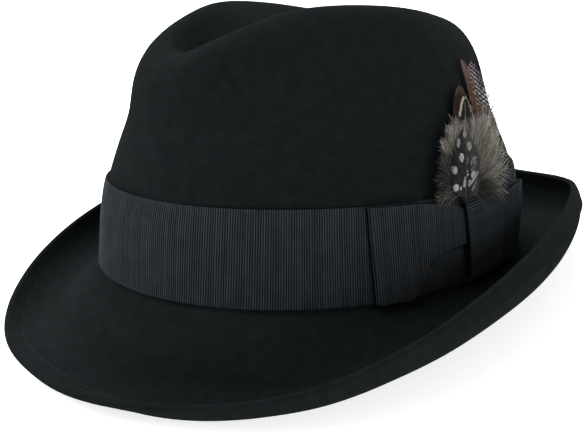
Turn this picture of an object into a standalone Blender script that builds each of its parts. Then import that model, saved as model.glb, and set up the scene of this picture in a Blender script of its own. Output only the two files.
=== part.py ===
"""A trilby of dark wool felt with a grosgrain band, a flat bow and a small plume of feathers.

Metres, +Z up. The front of the hat points to -Y, and the wearer's left side, with the bow, to +X.
The hat lies on a level surface as it would by itself, on the front of its brim and on the back
of its base, with the origin on that surface below the middle of the brim.
"""

import functools
import math

import bmesh
import bpy
import numpy as np
from mathutils import Vector

# Felt body, outside sizes
CROWN_LENGTH = 0.210
CROWN_WIDTH = 0.1765
CROWN_HEIGHT = 0.1165
BRIM_WIDTH = 0.0615
FELT_THICKNESS = 0.0020
HEM_THICKNESS = 0.0030
HEM_WIDTH = 0.0065
BREAK_RADIUS = 0.0015
BREAK_TILT = 0.0021
BREAK_BOW = 0.0007
CREST_ROUND = 0.0115
DENT_DEPTH = 0.0220
DENT_END = 0.0140
PINCH_DEPTH = 0.0040

# Ribbon band and bow
RIBBON_WIDTH = 0.0390
RIBBON_BOTTOM = 0.0015
RIBBON_THICKNESS = 0.0010
BOW_THICKNESS = 0.0008
WING_LENGTH = 0.0592
WING_SLANT = 0.0030
LOOP_GAP = 0.0006
FRONT_PUFF = 0.0006
REAR_PUFF = 0.0018
KNOT_WIDTH = 0.0248
KNOT_HEIGHT = 0.0365
KNOT_BULGE = 0.0005
KNOT_LEAN = 0.0024
BOW_ANGLE = 101.5

# Plume of feathers
PLUME_LENGTH = 0.0560
PLUME_OFFSET = 0.0165
FEATHER_THICKNESS = 0.0008
LOCK_THICKNESS = 0.0028
LOCK_WIDTH = 0.0095
LOCK_LIFT = 0.0035
LOCK_ROOT_RISE = 0.0033

# The gap that neighbouring pieces keep
CLEARANCE = 0.0003

# Sections of the felt, read round from the front. Brim and height are shares of BRIM_WIDTH and
# CROWN_HEIGHT, leans are shares of half of CROWN_WIDTH, dent is a share of DENT_DEPTH, and the
# brim's slope at its root, middle and rim is in degrees.
SECTION_COLUMNS = (
    "angle", "brim", "root", "middle", "rim", "band_lean", "side_lean", "crest_lean", "height", "dent",
)
SECTIONS = (
    (0, 0.80, -35, -44, -9, 0.052, 0.150, 0.224, 0.830, 0.32),
    (25, 0.89, -30, -62, 45, 0.055, 0.140, 0.262, 0.902, 0.60),
    (55, 0.95, -46, -31, 75, 0.068, 0.130, 0.370, 0.987, 0.91),
    (90, 0.80, -24, 13, 119, 0.039, 0.130, 0.343, 0.993, 1.00),
    (130, 0.76, 10, 28, 129, 0.026, 0.157, 0.316, 0.930, 0.77),
    (180, 0.84, -7, 2, 112, 0.031, 0.124, 0.238, 0.880, 0.36),
)
BAND_LINE = 0.348
SIDE_LINE = 0.62
SHOULDER_LINE = 0.93
SHOULDER_SLOPE = 0.80
PINCH_ANGLE = 42.0
PINCH_SPREAD = 14.0
PINCH_LINE = 0.77
PINCH_RISE = 0.13
# Pulls of the crest's curve where it leaves the shoulder and where it reaches the top
CREST_LEAVING = 0.9
CREST_ARRIVING = 1.2

# How the felt is divided
COLUMNS_ROUND = 56
BRIM_STEPS = 60
BRIM_ROWS = 6
WALL_ROWS = 5
CREST_SHARES = (0.35, 0.70, 1.00)
DENT_SHARES = (0.16, 0.34, 0.54, 0.77, 1.00)
DENT_TIGHTNESS = 0.80

# The bow's wings from the knot outwards: along is a share of WING_LENGTH, and the edges of the
# upper and the under layer are shares of RIBBON_WIDTH.
WING_COLUMNS = ("along", "upper_low", "under_low", "high")
FRONT_WING = (
    (0.00, 0.47, 0.17, 0.76),
    (0.19, 0.47, 0.13, 0.80),
    (0.27, 0.47, 0.10, 0.87),
    (0.37, 0.46, 0.05, 0.94),
    (0.50, 0.43, 0.03, 0.97),
    (0.57, 0.36, 0.02, 0.98),
    (0.63, 0.20, 0.01, 0.99),
    (0.70, 0.00, 0.00, 1.00),
    (1.00, 0.00, 0.00, 1.00),
)
REAR_WING = (
    (0.00, 0.13, 0.13, 0.80),
    (0.25, 0.08, 0.08, 0.88),
    (0.55, 0.01, 0.01, 0.98),
    (1.00, 0.00, 0.00, 1.00),
)
WING_STEPS = 11
WING_ROWS = 5

# The knot's side view from below: heights are shares of KNOT_HEIGHT, and depth goes from the felt
# (0) to the outside of the wings (1), or past it by shares of KNOT_BULGE.
KNOT_VIEW = (
    (-0.500, 0.0, 0.0), (-0.492, 0.5, 0.0), (-0.455, 1.0, 0.0), (-0.300, 1.0, 1.0), (0.000, 1.0, 1.6),
    (0.300, 1.0, 1.0), (0.455, 1.0, 0.0), (0.492, 0.5, 0.0), (0.500, 0.0, 0.0),
)
KNOT_STEPS = 8

# The flat feathers from the crown outwards: the place of each tip, its width and the bend of its
# quill are shares of PLUME_LENGTH.
FEATHER_COLUMNS = ("name", "tip_along", "tip_rise", "width", "bend", "vane", "material")
FEATHERS = (
    ("barred_feather", 0.73, 0.88, 0.24, 0.17, "slim", "barred_vane"),
    ("brown_feather_tall", 0.56, 0.94, 0.16, 0.16, "slim", "brown_vane"),
    ("brown_feather_short", 0.30, 0.76, 0.28, 0.00, "broad", "brown_vane"),
    ("chevron_feather", 0.30, 0.69, 0.24, 0.00, "broad", "cream_vane"),
    ("spotted_feather", 0.11, 0.46, 0.34, 0.00, "round", "spotted_vane"),
)
# Half widths of a feather along its quill, as shares of its widest
VANES = {
    "slim": (
        (0.0, 0.10), (0.12, 0.24), (0.28, 0.76), (0.45, 1.0), (0.62, 0.92), (0.78, 0.66), (0.91, 0.36),
        (1.0, 0.08),
    ),
    "broad": (
        (0.0, 0.10), (0.12, 0.26), (0.28, 0.70), (0.45, 0.94), (0.65, 1.0), (0.83, 0.86), (0.94, 0.52),
        (1.0, 0.12),
    ),
    "round": (
        (0.0, 0.62), (0.12, 0.84), (0.28, 0.97), (0.45, 1.0), (0.65, 0.96), (0.82, 0.76), (0.94, 0.44),
        (1.0, 0.12),
    ),
}
VANE_ACROSS = (-1.0, -0.5, 0.0, 0.5, 1.0)

# The downy locks round the feathers: the place of each tip is a share of PLUME_LENGTH, lift is a
# share of LOCK_LIFT and width a share of LOCK_WIDTH. The backing is a wide lock behind them.
LOCKS = (
    (-0.22, 0.03, 0.0, 0.85),
    (-0.22, 0.15, 0.0, 1.00),
    (-0.18, 0.28, 0.0, 1.00),
    (-0.13, 0.40, 0.0, 1.00),
    (-0.05, 0.49, 0.0, 1.00),
    (0.05, 0.55, 0.0, 1.00),
    (0.17, 0.51, 0.0, 1.00),
    (0.29, 0.50, 0.1, 1.00),
    (0.42, 0.52, 0.3, 1.00),
    (0.55, 0.54, 0.5, 1.05),
    (0.60, 0.41, 0.8, 1.05),
    (0.56, 0.27, 0.9, 1.00),
    (0.49, 0.13, 1.0, 0.95),
    (0.40, 0.01, 0.9, 0.80),
)
LOCK_BACKING = (0.16, 0.46, 0.0, 2.0)
LOCK_SHAPE = ((0.0, 0.55), (0.2, 0.90), (0.45, 1.0), (0.7, 0.80), (0.88, 0.50), (1.0, 0.12))
LOCK_SIDES = 6

# The search for the tip of the hat on its seat, in degrees
STEEPEST_TIP = -25.0
OTHER_TIP = 10.0
TIP_HALVINGS = 50

# Above this angle in degrees an edge stays sharp
SHARP_ANGLE = 40.0

MATERIALS = {
    "wool_felt": ((0.0104, 0.0127, 0.0135), 0.92),
    "grosgrain": ((0.0270, 0.0320, 0.0360), 0.70),
    "down": ((0.2300, 0.1950, 0.1500), 0.90),
    "barred_vane": ((0.2500, 0.2200, 0.2400), 0.75),
    "brown_vane": ((0.1150, 0.0420, 0.0300), 0.70),
    "cream_vane": ((0.3000, 0.2600, 0.2000), 0.75),
    "spotted_vane": ((0.0300, 0.0300, 0.0320), 0.75),
}


def smooth_curve(knots, values, start_slope=0.0, end_slope=0.0):
    """A function that follows the smooth cubic through the knots, with given slopes at its ends."""
    knots = np.asarray(knots, float)
    values = np.asarray(values, float)
    step = np.diff(knots)
    rise = np.diff(values) / step
    matrix = np.eye(len(knots))
    right = np.zeros(len(knots))
    right[0] = start_slope
    right[-1] = end_slope
    for i in range(1, len(knots) - 1):
        matrix[i, i - 1:i + 2] = (1 / step[i - 1], 2 / step[i - 1] + 2 / step[i], 1 / step[i])
        right[i] = 3 * (rise[i - 1] / step[i - 1] + rise[i] / step[i])
    slope = np.linalg.solve(matrix, right)

    def value_at(place):
        i = min(max(int(np.searchsorted(knots, place)) - 1, 0), len(step) - 1)
        share = (place - knots[i]) / step[i]
        keep = (1 + 2 * share) * (1 - share) ** 2 * values[i] + (3 - 2 * share) * share**2 * values[i + 1]
        turn = share * (1 - share) ** 2 * slope[i] - share**2 * (1 - share) * slope[i + 1]
        return float(keep + turn * step[i])

    return value_at


def column_curves():
    """One smooth curve round the hat for each column of the section table."""
    rows = np.array(SECTIONS, float)
    return {name: smooth_curve(rows[:, 0], rows[:, i]) for i, name in enumerate(SECTION_COLUMNS) if i}


CURVES = column_curves()


def section(column, angle):
    """A column of the section table at an angle in degrees, alike on the left and on the right."""
    folded = abs((angle + 180.0) % 360.0 - 180.0)
    return CURVES[column](folded)


def base_frame(angle):
    """The point on the oval of the crown's base at an angle, and the way outwards there."""
    turn = math.radians(angle)
    half_width = CROWN_WIDTH / 2
    half_length = CROWN_LENGTH / 2
    level = -BREAK_TILT * math.cos(turn) + BREAK_BOW * math.cos(2 * turn)
    point = Vector((half_width * math.sin(turn), -half_length * math.cos(turn), level))
    outwards = Vector((math.sin(turn) / half_width, -math.cos(turn) / half_length, 0.0)).normalized()
    return point, outwards


@functools.lru_cache(maxsize=None)
def lean_curve(angle):
    """How far the crown's side leans in at each height above the base."""
    height = CROWN_HEIGHT * section("height", angle)
    knots = (0.0, BAND_LINE * CROWN_HEIGHT, SIDE_LINE * height, SHOULDER_LINE * height)
    half_width = CROWN_WIDTH / 2
    leans = [half_width * section(name, angle) for name in ("band_lean", "side_lean", "crest_lean")]
    return smooth_curve(knots, [0.0] + leans, leans[0] / knots[1], SHOULDER_SLOPE)


def wall_point(angle, height, outside=0.0):
    """A point at a height on the crown's side, or standing off it by a distance."""
    point, outwards = base_frame(angle)
    folded = abs((angle + 180.0) % 360.0 - 180.0)
    rise = height / (CROWN_HEIGHT * section("height", angle))
    around = ((folded - PINCH_ANGLE) / PINCH_SPREAD) ** 2
    hollow = math.exp(-(around + ((rise - PINCH_LINE) / PINCH_RISE) ** 2) / 2)
    shift = outside - lean_curve(round(angle, 6))(height) - PINCH_DEPTH * hollow
    return point + outwards * shift + Vector((0.0, 0.0, height))


def brim_profile(angle, distances):
    """Points of the brim's upper side at distances from the break, measured along the felt."""
    width = BRIM_WIDTH * section("brim", angle)
    slopes = [math.radians(section(name, angle)) for name in ("root", "middle", "rim")]
    point, outwards = base_frame(angle)
    out = up = 0.0
    path = [(0.0, 0.0)]
    for step in range(BRIM_STEPS):
        share = (step + 0.5) / BRIM_STEPS
        slope = float(np.interp(share, (0.0, 0.5, 1.0), slopes))
        out += math.cos(slope) * width / BRIM_STEPS
        up += math.sin(slope) * width / BRIM_STEPS
        path.append((out, up))
    path = np.array(path)
    along = np.linspace(0.0, width, BRIM_STEPS + 1)
    result = []
    for distance in distances:
        result.append(
            point
            + outwards * float(np.interp(distance, along, path[:, 0]))
            + Vector((0.0, 0.0, float(np.interp(distance, along, path[:, 1]))))
        )
    return result


def spine_point(angle):
    """A point at the bottom of the dent in the crown, where its two sides meet."""
    height = CROWN_HEIGHT * section("height", angle)
    ends = []
    for end in (0.0, 180.0):
        lean = CROWN_WIDTH / 2 * section("crest_lean", end) + CREST_ROUND + DENT_END
        ends.append((CROWN_LENGTH / 2 - lean) * (-1 if end == 0.0 else 1))
    share = (1 - math.cos(math.radians(angle))) / 2
    level = base_frame(angle)[0].z + height - DENT_DEPTH * section("dent", angle)
    return Vector((0.0, ends[0] + (ends[1] - ends[0]) * share, level))


def felt_column(angle):
    """One line of points up the felt, from the rim over the crest to the bottom of the dent."""
    width = BRIM_WIDTH * section("brim", angle)
    height = CROWN_HEIGHT * section("height", angle)
    hem_inside = width - HEM_WIDTH
    hem_step = HEM_THICKNESS - FELT_THICKNESS
    flat = np.linspace(hem_inside - hem_step, BREAK_RADIUS, BRIM_ROWS + 1)
    points = brim_profile(angle, [width, width - HEM_WIDTH / 2, hem_inside, *flat])

    corner = base_frame(angle)[0]
    foot = wall_point(angle, BREAK_RADIUS)
    brim_root = points[-1]
    for share in (1 / 3, 2 / 3):
        points.append(brim_root * (1 - share) ** 2 + corner * 2 * share * (1 - share) + foot * share**2)

    band_line = BAND_LINE * CROWN_HEIGHT
    shoulder = SHOULDER_LINE * height
    heights = [BREAK_RADIUS, band_line / 2, band_line]
    heights += [band_line + (shoulder - band_line) * i / WALL_ROWS for i in range(1, WALL_ROWS + 1)]
    points += [wall_point(angle, level) for level in heights]

    outwards = base_frame(angle)[1]
    edge = points[-1]
    rise = height - shoulder
    top = edge - outwards * CREST_ROUND + Vector((0.0, 0.0, rise))
    leaving = (Vector((0.0, 0.0, 1.0)) - outwards * SHOULDER_SLOPE) * rise * CREST_LEAVING
    arriving = -outwards * CREST_ROUND * CREST_ARRIVING
    for share in CREST_SHARES:
        start = edge * (1 + 2 * share) * (1 - share) ** 2 + leaving * share * (1 - share) ** 2
        end = top * (3 - 2 * share) * share**2 - arriving * share**2 * (1 - share)
        points.append(start + end)

    bottom = spine_point(angle)
    for share in DENT_SHARES:
        eased = share**DENT_TIGHTNESS
        depth = eased * eased * (3 - 2 * eased)
        point = top.lerp(bottom, share)
        point.z = top.z + (bottom.z - top.z) * depth
        points.append(point)
    return points


def mesh_from_grid(name, lines, closed, flip=False, caps=False):
    """A mesh through lines of points, each line joined to the next one."""
    mesh = bpy.data.meshes.new(name)
    builder = bmesh.new()
    rows = [[builder.verts.new(point) for point in line] for line in lines]
    count = len(rows)
    for i in range(count if closed else count - 1):
        here, following = rows[i], rows[(i + 1) % count]
        for j in range(len(here) - 1):
            corners = [here[j], following[j], following[j + 1], here[j + 1]]
            builder.faces.new(corners[::-1] if flip else corners)
    if caps:
        for j in (0, len(rows[0]) - 1):
            builder.faces.new([row[j] for row in rows])
        bmesh.ops.recalc_face_normals(builder, faces=builder.faces)
    bmesh.ops.remove_doubles(builder, verts=builder.verts, dist=1e-6)
    builder.to_mesh(mesh)
    builder.free()
    return mesh


def material(name):
    """The plain finish of one kind of piece."""
    found = bpy.data.materials.get(name)
    if found:
        return found
    colour, roughness = MATERIALS[name]
    made = bpy.data.materials.new(name)
    made.use_nodes = True
    shader = made.node_tree.nodes["Principled BSDF"]
    shader.inputs["Base Color"].default_value = (*colour, 1.0)
    shader.inputs["Roughness"].default_value = roughness
    shader.inputs["Metallic"].default_value = 0.0
    return made


def add_piece(mesh, finish, parent, collection):
    """An object for one piece of the hat, smooth shaded, carried by the hat's seat."""
    piece = bpy.data.objects.new(mesh.name, mesh)
    mesh.materials.append(material(finish))
    mesh.shade_smooth()
    mesh.set_sharp_from_angle(angle=math.radians(SHARP_ANGLE))
    piece.parent = parent
    collection.objects.link(piece)
    return piece


def thicken(piece, thickness, offset):
    """Solidify the piece's open surface, all to one side of it."""
    solid = piece.modifiers.new("Thickness", "SOLIDIFY")
    solid.thickness = thickness
    solid.offset = offset
    solid.use_even_offset = True
    solid.use_quality_normals = True
    return solid


def make_felt_body(seat, collection):
    """Crown and brim in one shell, doubled along the rim where the edge is turned under."""
    angles = [360.0 * i / COLUMNS_ROUND for i in range(COLUMNS_ROUND)]
    lines = [felt_column(angle) for angle in angles]
    mesh = mesh_from_grid("felt_body", lines, closed=True)
    felt = add_piece(mesh, "wool_felt", seat, collection)

    rim_points = [point for line in lines for point in line[:3]]
    hem = felt.vertex_groups.new(name="hem")
    near = {tuple(round(value, 6) for value in point) for point in rim_points}
    members = [v.index for v in mesh.vertices if tuple(round(value, 6) for value in v.co) in near]
    hem.add(members, 1.0, "REPLACE")
    solid = thicken(felt, HEM_THICKNESS, -1.0)
    solid.vertex_group = "hem"
    solid.thickness_vertex_group = FELT_THICKNESS / HEM_THICKNESS
    return felt


def make_ribbon_band(seat, collection):
    """The ribbon round the foot of the crown."""
    heights = [RIBBON_BOTTOM + RIBBON_WIDTH * share for share in (0.0, 0.5, 1.0)]
    angles = [360.0 * i / COLUMNS_ROUND for i in range(COLUMNS_ROUND)]
    lines = [[wall_point(angle, height, CLEARANCE) for height in heights] for angle in angles]
    band = add_piece(mesh_from_grid("ribbon_band", lines, closed=True), "grosgrain", seat, collection)
    thicken(band, RIBBON_THICKNESS, 1.0)


def bow_point(along, height, outside):
    """A point at a distance round the hat from the middle of the bow, at a height on the crown."""
    turn = math.radians(BOW_ANGLE)
    radius = math.hypot(CROWN_WIDTH / 2 * math.cos(turn), CROWN_LENGTH / 2 * math.sin(turn))
    return wall_point(BOW_ANGLE + math.degrees(along / radius), height, outside)


def wing_path(puff):
    """The side view of a wing's loop: place from knot to end, distance off the crown, and layer."""
    under = 2 * CLEARANCE + RIBBON_THICKNESS + BOW_THICKNESS / 2
    radius = (BOW_THICKNESS + LOOP_GAP) / 2
    shares = np.linspace(0.0, 1.0, WING_STEPS)
    straight = WING_LENGTH - radius
    start = CLEARANCE
    path = []
    for share in shares:
        place = start + (straight - start) * share
        free = max(0.0, (place - KNOT_WIDTH / 2) / (straight - KNOT_WIDTH / 2))
        path.append((place, under + 2 * radius + puff * math.sin(math.pi * free) ** 2, "upper_low"))
    for turn in (45, 90, 135):
        bend = math.radians(turn)
        layer = "upper_low" if turn < 90 else "under_low"
        path.append((straight + radius * math.sin(bend), under + radius + radius * math.cos(bend), layer))
    for share in shares[::-1]:
        path.append((start + (straight - start) * share, under, "under_low"))
    return path


def make_wing(name, table, direction, puff, seat, collection):
    """One wing of the bow, a flattened loop of ribbon that narrows into the knot."""
    rows = np.array(table, float)
    lines = []
    for place, outside, layer in wing_path(puff):
        share = min(place / WING_LENGTH, 1.0)
        low = float(np.interp(share, rows[:, 0], rows[:, WING_COLUMNS.index(layer)]))
        high = float(np.interp(share, rows[:, 0], rows[:, WING_COLUMNS.index("high")]))
        line = []
        for i in range(WING_ROWS + 1):
            level = low + (high - low) * i / WING_ROWS
            slanted = place + WING_SLANT * (level - 0.5) * share
            line.append(bow_point(direction * slanted, RIBBON_BOTTOM + RIBBON_WIDTH * level, outside))
        lines.append(line)
    mesh = mesh_from_grid(name, lines, closed=False, flip=direction < 0)
    thicken(add_piece(mesh, "grosgrain", seat, collection), BOW_THICKNESS, 0.0)


def make_knot(seat, collection):
    """The strip of ribbon that wraps the middle of the bow, its ends tucked in at top and bottom."""
    under = 2 * CLEARANCE + RIBBON_THICKNESS
    over = under + 2 * BOW_THICKNESS + LOOP_GAP + CLEARANCE
    middle = RIBBON_BOTTOM + RIBBON_WIDTH / 2
    lines = []
    for i in range(KNOT_STEPS + 1):
        line = []
        for rise, depth, bulge in KNOT_VIEW:
            along = KNOT_WIDTH * (i / KNOT_STEPS - 0.5) - 2 * KNOT_LEAN * rise
            outside = under + (over - under) * depth + KNOT_BULGE * bulge
            line.append(bow_point(along, middle + KNOT_HEIGHT * rise, outside))
        lines.append(line)
    knot = add_piece(mesh_from_grid("bow_knot", lines, closed=False), "grosgrain", seat, collection)
    thicken(knot, RIBBON_THICKNESS, 1.0)


def plume_root():
    """Where the quills go in, on the band above the front end of the knot."""
    knot_top = RIBBON_BOTTOM + RIBBON_WIDTH / 2 + KNOT_HEIGHT / 2 + RIBBON_THICKNESS
    return -PLUME_OFFSET, knot_top + CLEARANCE


def layer_outside(layer):
    """How far the inner face of a layer of the plume stands off the crown."""
    return 2 * CLEARANCE + RIBBON_THICKNESS + layer * (FEATHER_THICKNESS + CLEARANCE)


def make_feather(feather, outside, seat, collection):
    """One flat feather, a leaf that follows the crown's side at a distance."""
    root = Vector(plume_root())
    line = Vector((feather["tip_along"], feather["tip_rise"])) * PLUME_LENGTH
    side = Vector((line.y, -line.x)).normalized()
    bend = feather["bend"] * PLUME_LENGTH
    half_width = feather["width"] * PLUME_LENGTH / 2
    lines = []
    for share, wide in VANES[feather["vane"]]:
        centre = root + line * share + side * (bend * 4 * share * (1 - share))
        row = []
        for across in VANE_ACROSS:
            place = centre + side * (across * wide * half_width)
            row.append(bow_point(place.x, max(place.y, root.y), outside))
        lines.append(row)
    leaf = mesh_from_grid(feather["name"], lines, closed=False, flip=True)
    thicken(add_piece(leaf, feather["material"], seat, collection), FEATHER_THICKNESS, 1.0)


def lock_mesh(name, lock, outside):
    """One closed lock of down, an oval bar that tapers to its tip."""
    tip_along, tip_rise, lift, width = lock
    foot = Vector((0.0, LOCK_ROOT_RISE))
    root = Vector(plume_root()) + foot
    line = Vector((tip_along, tip_rise)) * PLUME_LENGTH - foot
    side = Vector((line.y, -line.x)).normalized()
    rings = []
    for i in range(LOCK_SIDES):
        turn = 2 * math.pi * i / LOCK_SIDES
        ring = []
        for share, full in LOCK_SHAPE:
            across = math.cos(turn) * full * width * LOCK_WIDTH / 2
            deep = math.sin(turn) * full * LOCK_THICKNESS / 2
            place = root + line * share + side * across
            ring.append(bow_point(place.x, place.y, outside + deep + lift * LOCK_LIFT * share**2))
        rings.append(ring)
    return mesh_from_grid(name, rings, closed=True, caps=True)


def make_fluff(seat, collection, tools):
    """The down round the feathers: a backing with the locks fused to it."""
    outside = layer_outside(len(FEATHERS) - 1) + LOCK_THICKNESS / 2
    fluff = add_piece(lock_mesh("feather_fluff", LOCK_BACKING, outside), "down", seat, collection)
    for i, lock in enumerate(LOCKS):
        mesh = lock_mesh(f"lock_{i + 1}", lock, outside)
        guide = bpy.data.objects.new(mesh.name, mesh)
        guide.parent = seat
        guide.hide_render = True
        guide.display_type = "WIRE"
        tools.objects.link(guide)
    fuse = fluff.modifiers.new("Fused locks", "BOOLEAN")
    fuse.operation = "UNION"
    fuse.operand_type = "COLLECTION"
    fuse.collection = tools
    fuse.use_self = True


def make_feathers(seat, collection):
    """The flat feathers: four behind the down, and the spotted one in front of it."""
    for layer, row in enumerate(FEATHERS):
        feather = dict(zip(FEATHER_COLUMNS, row))
        outside = layer_outside(layer)
        if feather["name"] == "spotted_feather":
            outside += LOCK_THICKNESS + 2 * CLEARANCE
        make_feather(feather, outside, seat, collection)


def lowest(points, pitch, front):
    """The lowest height of the front or the back half of the points, with the hat tipped."""
    half = points[points[:, 1] < 0] if front else points[points[:, 1] >= 0]
    return float((half[:, 1] * math.sin(pitch) + half[:, 2] * math.cos(pitch)).min())


def seat_on_surface(felt, seat):
    """Tip and lift the hat so that the front of its brim and its back both touch the surface."""
    bpy.context.view_layer.update()
    evaluated = felt.evaluated_get(bpy.context.evaluated_depsgraph_get())
    mesh = evaluated.to_mesh()
    points = np.array([tuple(v.co) for v in mesh.vertices])
    evaluated.to_mesh_clear()
    steep, level = math.radians(STEEPEST_TIP), math.radians(OTHER_TIP)
    for _ in range(TIP_HALVINGS):
        pitch = (steep + level) / 2
        if lowest(points, pitch, True) > lowest(points, pitch, False):
            steep = pitch
        else:
            level = pitch
    turned = points[:, 1] * math.cos(pitch) - points[:, 2] * math.sin(pitch)
    middle = float(turned.max() + turned.min()) / 2
    floor = min(lowest(points, pitch, True), lowest(points, pitch, False))
    seat.rotation_euler = (pitch, 0.0, 0.0)
    seat.location = (0.0, -middle, -floor)
    print("pitch", round(math.degrees(pitch), 3), "seat", [round(value, 5) for value in seat.location])


def main():
    for old in list(bpy.data.objects):
        bpy.data.objects.remove(old, do_unlink=True)
    hat = bpy.data.collections.new("trilby")
    tools = bpy.data.collections.new("trilby_cutters")
    bpy.context.scene.collection.children.link(hat)
    bpy.context.scene.collection.children.link(tools)
    seat = bpy.data.objects.new("hat_seat", None)
    hat.objects.link(seat)

    felt = make_felt_body(seat, hat)
    make_ribbon_band(seat, hat)
    make_wing("bow_front_wing", FRONT_WING, -1, FRONT_PUFF, seat, hat)
    make_wing("bow_rear_wing", REAR_WING, 1, REAR_PUFF, seat, hat)
    make_knot(seat, hat)
    make_feathers(seat, hat)
    make_fluff(seat, hat, tools)
    seat_on_surface(felt, seat)


main()
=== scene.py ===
# %% [markdown]
# # A dark felt trilby with a grosgrain band, a bow and a plume
#
# A trilby is one piece of wool felt, steamed over a block: a tapered crown, creased along the top
# and pinched in front, and a brim that snaps down in front and rolls up at the sides and back.
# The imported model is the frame. It fixes every size and place, and this lesson makes the looks.

# %% Load the frame
import functools
import math

import bpy
import numpy as np
from mathutils import Euler, Matrix, Vector, noise


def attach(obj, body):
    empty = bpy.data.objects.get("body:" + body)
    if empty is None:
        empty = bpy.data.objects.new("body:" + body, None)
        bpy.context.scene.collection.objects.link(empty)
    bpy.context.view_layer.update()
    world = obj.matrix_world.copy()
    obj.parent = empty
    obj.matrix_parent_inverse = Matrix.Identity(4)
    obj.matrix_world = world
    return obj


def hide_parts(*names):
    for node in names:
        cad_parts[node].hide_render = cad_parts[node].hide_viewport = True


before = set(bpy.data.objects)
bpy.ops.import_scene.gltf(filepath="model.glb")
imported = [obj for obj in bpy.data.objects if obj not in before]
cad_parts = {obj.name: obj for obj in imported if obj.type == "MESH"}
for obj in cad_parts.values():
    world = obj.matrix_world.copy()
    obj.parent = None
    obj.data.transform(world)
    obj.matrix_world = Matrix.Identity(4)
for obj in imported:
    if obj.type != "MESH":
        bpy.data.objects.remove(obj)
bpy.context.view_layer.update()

print("nodes", sorted(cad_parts))

# %% [markdown]
# ## The sizes of the hat
#
# The model of the hat is a short table: six sections read round from the front, each with its brim
# width, brim slopes, the lean of the crown's side and the crown's height. Everything on the hat is
# placed from these sections, so the ribbon, the bow and the feathers follow the felt by themselves.

# %% Sizes in metres, as the model has them
CROWN_LENGTH = 0.210
CROWN_WIDTH = 0.1765
CROWN_HEIGHT = 0.1165
BRIM_WIDTH = 0.0615
FELT_THICKNESS = 0.0020
HEM_THICKNESS = 0.0030
HEM_WIDTH = 0.0065
BREAK_RADIUS = 0.0015
BREAK_TILT = 0.0021
BREAK_BOW = 0.0007
CREST_ROUND = 0.0115
DENT_DEPTH = 0.0220
DENT_END = 0.0140
PINCH_DEPTH = 0.0040
RIBBON_WIDTH = 0.0390
RIBBON_BOTTOM = 0.0015
RIBBON_THICKNESS = 0.0010
BOW_THICKNESS = 0.0008
WING_LENGTH = 0.0592
WING_SLANT = 0.0030
LOOP_GAP = 0.0006
FRONT_PUFF = 0.0006
REAR_PUFF = 0.0009
KNOT_WIDTH = 0.0248
KNOT_HEIGHT = 0.0365
KNOT_BULGE = 0.0005
KNOT_LEAN = 0.0024
BOW_ANGLE = 101.5
PLUME_LENGTH = 0.0560
PLUME_OFFSET = 0.0165
FEATHER_THICKNESS = 0.0008
LOCK_THICKNESS = 0.0028
LOCK_WIDTH = 0.0095
LOCK_LIFT = 0.0035
LOCK_ROOT_RISE = 0.0033
CLEARANCE = 0.0003

SECTION_COLUMNS = (
    "angle", "brim", "root", "middle", "rim", "band_lean", "side_lean", "crest_lean", "height", "dent",
)
SECTIONS = (
    (0, 0.80, -35, -44, -9, 0.052, 0.150, 0.224, 0.830, 0.32),
    (25, 0.89, -30, -62, 45, 0.055, 0.140, 0.262, 0.902, 0.60),
    (55, 0.95, -46, -31, 75, 0.068, 0.130, 0.370, 0.987, 0.91),
    (90, 0.80, -24, 13, 119, 0.039, 0.130, 0.343, 0.993, 1.00),
    (130, 0.76, 10, 28, 129, 0.026, 0.157, 0.316, 0.930, 0.77),
    (180, 0.84, -7, 2, 112, 0.031, 0.124, 0.238, 0.880, 0.36),
)
BAND_LINE = 0.348
SIDE_LINE = 0.62
SHOULDER_LINE = 0.93
SHOULDER_SLOPE = 0.80
PINCH_ANGLE = 42.0
PINCH_SPREAD = 14.0
PINCH_LINE = 0.77
PINCH_RISE = 0.13
CREST_LEAVING = 0.9
CREST_ARRIVING = 1.2
DENT_TIGHTNESS = 0.80
print("sections", len(SECTIONS), "columns", len(SECTION_COLUMNS))

# %% [markdown]
# ## Smooth curves through the sections
#
# Between the sections the felt is smooth, so each column of the table becomes a cubic curve that
# bends as little as it can. It leaves the front and meets the back with no slope, because the left
# half of a hat mirrors the right half there.

# %% Curves and the oval of the base
def smooth_curve(knots, values, start_slope=0.0, end_slope=0.0):
    """A function that follows the smooth cubic through the knots, with given slopes at its ends."""
    knots = np.asarray(knots, float)
    values = np.asarray(values, float)
    step = np.diff(knots)
    rise = np.diff(values) / step
    matrix = np.eye(len(knots))
    right = np.zeros(len(knots))
    right[0] = start_slope
    right[-1] = end_slope
    for i in range(1, len(knots) - 1):
        matrix[i, i - 1:i + 2] = (1 / step[i - 1], 2 / step[i - 1] + 2 / step[i], 1 / step[i])
        right[i] = 3 * (rise[i - 1] / step[i - 1] + rise[i] / step[i])
    slope = np.linalg.solve(matrix, right)

    def value_at(place):
        place = np.asarray(place, float)
        i = np.clip(np.searchsorted(knots, place) - 1, 0, len(step) - 1)
        share = (place - knots[i]) / step[i]
        keep = (1 + 2 * share) * (1 - share) ** 2 * values[i] + (3 - 2 * share) * share**2 * values[i + 1]
        turn = share * (1 - share) ** 2 * slope[i] - share**2 * (1 - share) * slope[i + 1]
        return keep + turn * step[i]

    return value_at


ROWS = np.array(SECTIONS, float)
CURVES = {name: smooth_curve(ROWS[:, 0], ROWS[:, i]) for i, name in enumerate(SECTION_COLUMNS) if i}


def folded(angle):
    """The angle from the front, alike on the left and on the right."""
    return abs((angle + 180.0) % 360.0 - 180.0)


def section(column, angle):
    """A column of the section table at an angle in degrees."""
    return float(CURVES[column](folded(angle)))


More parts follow.
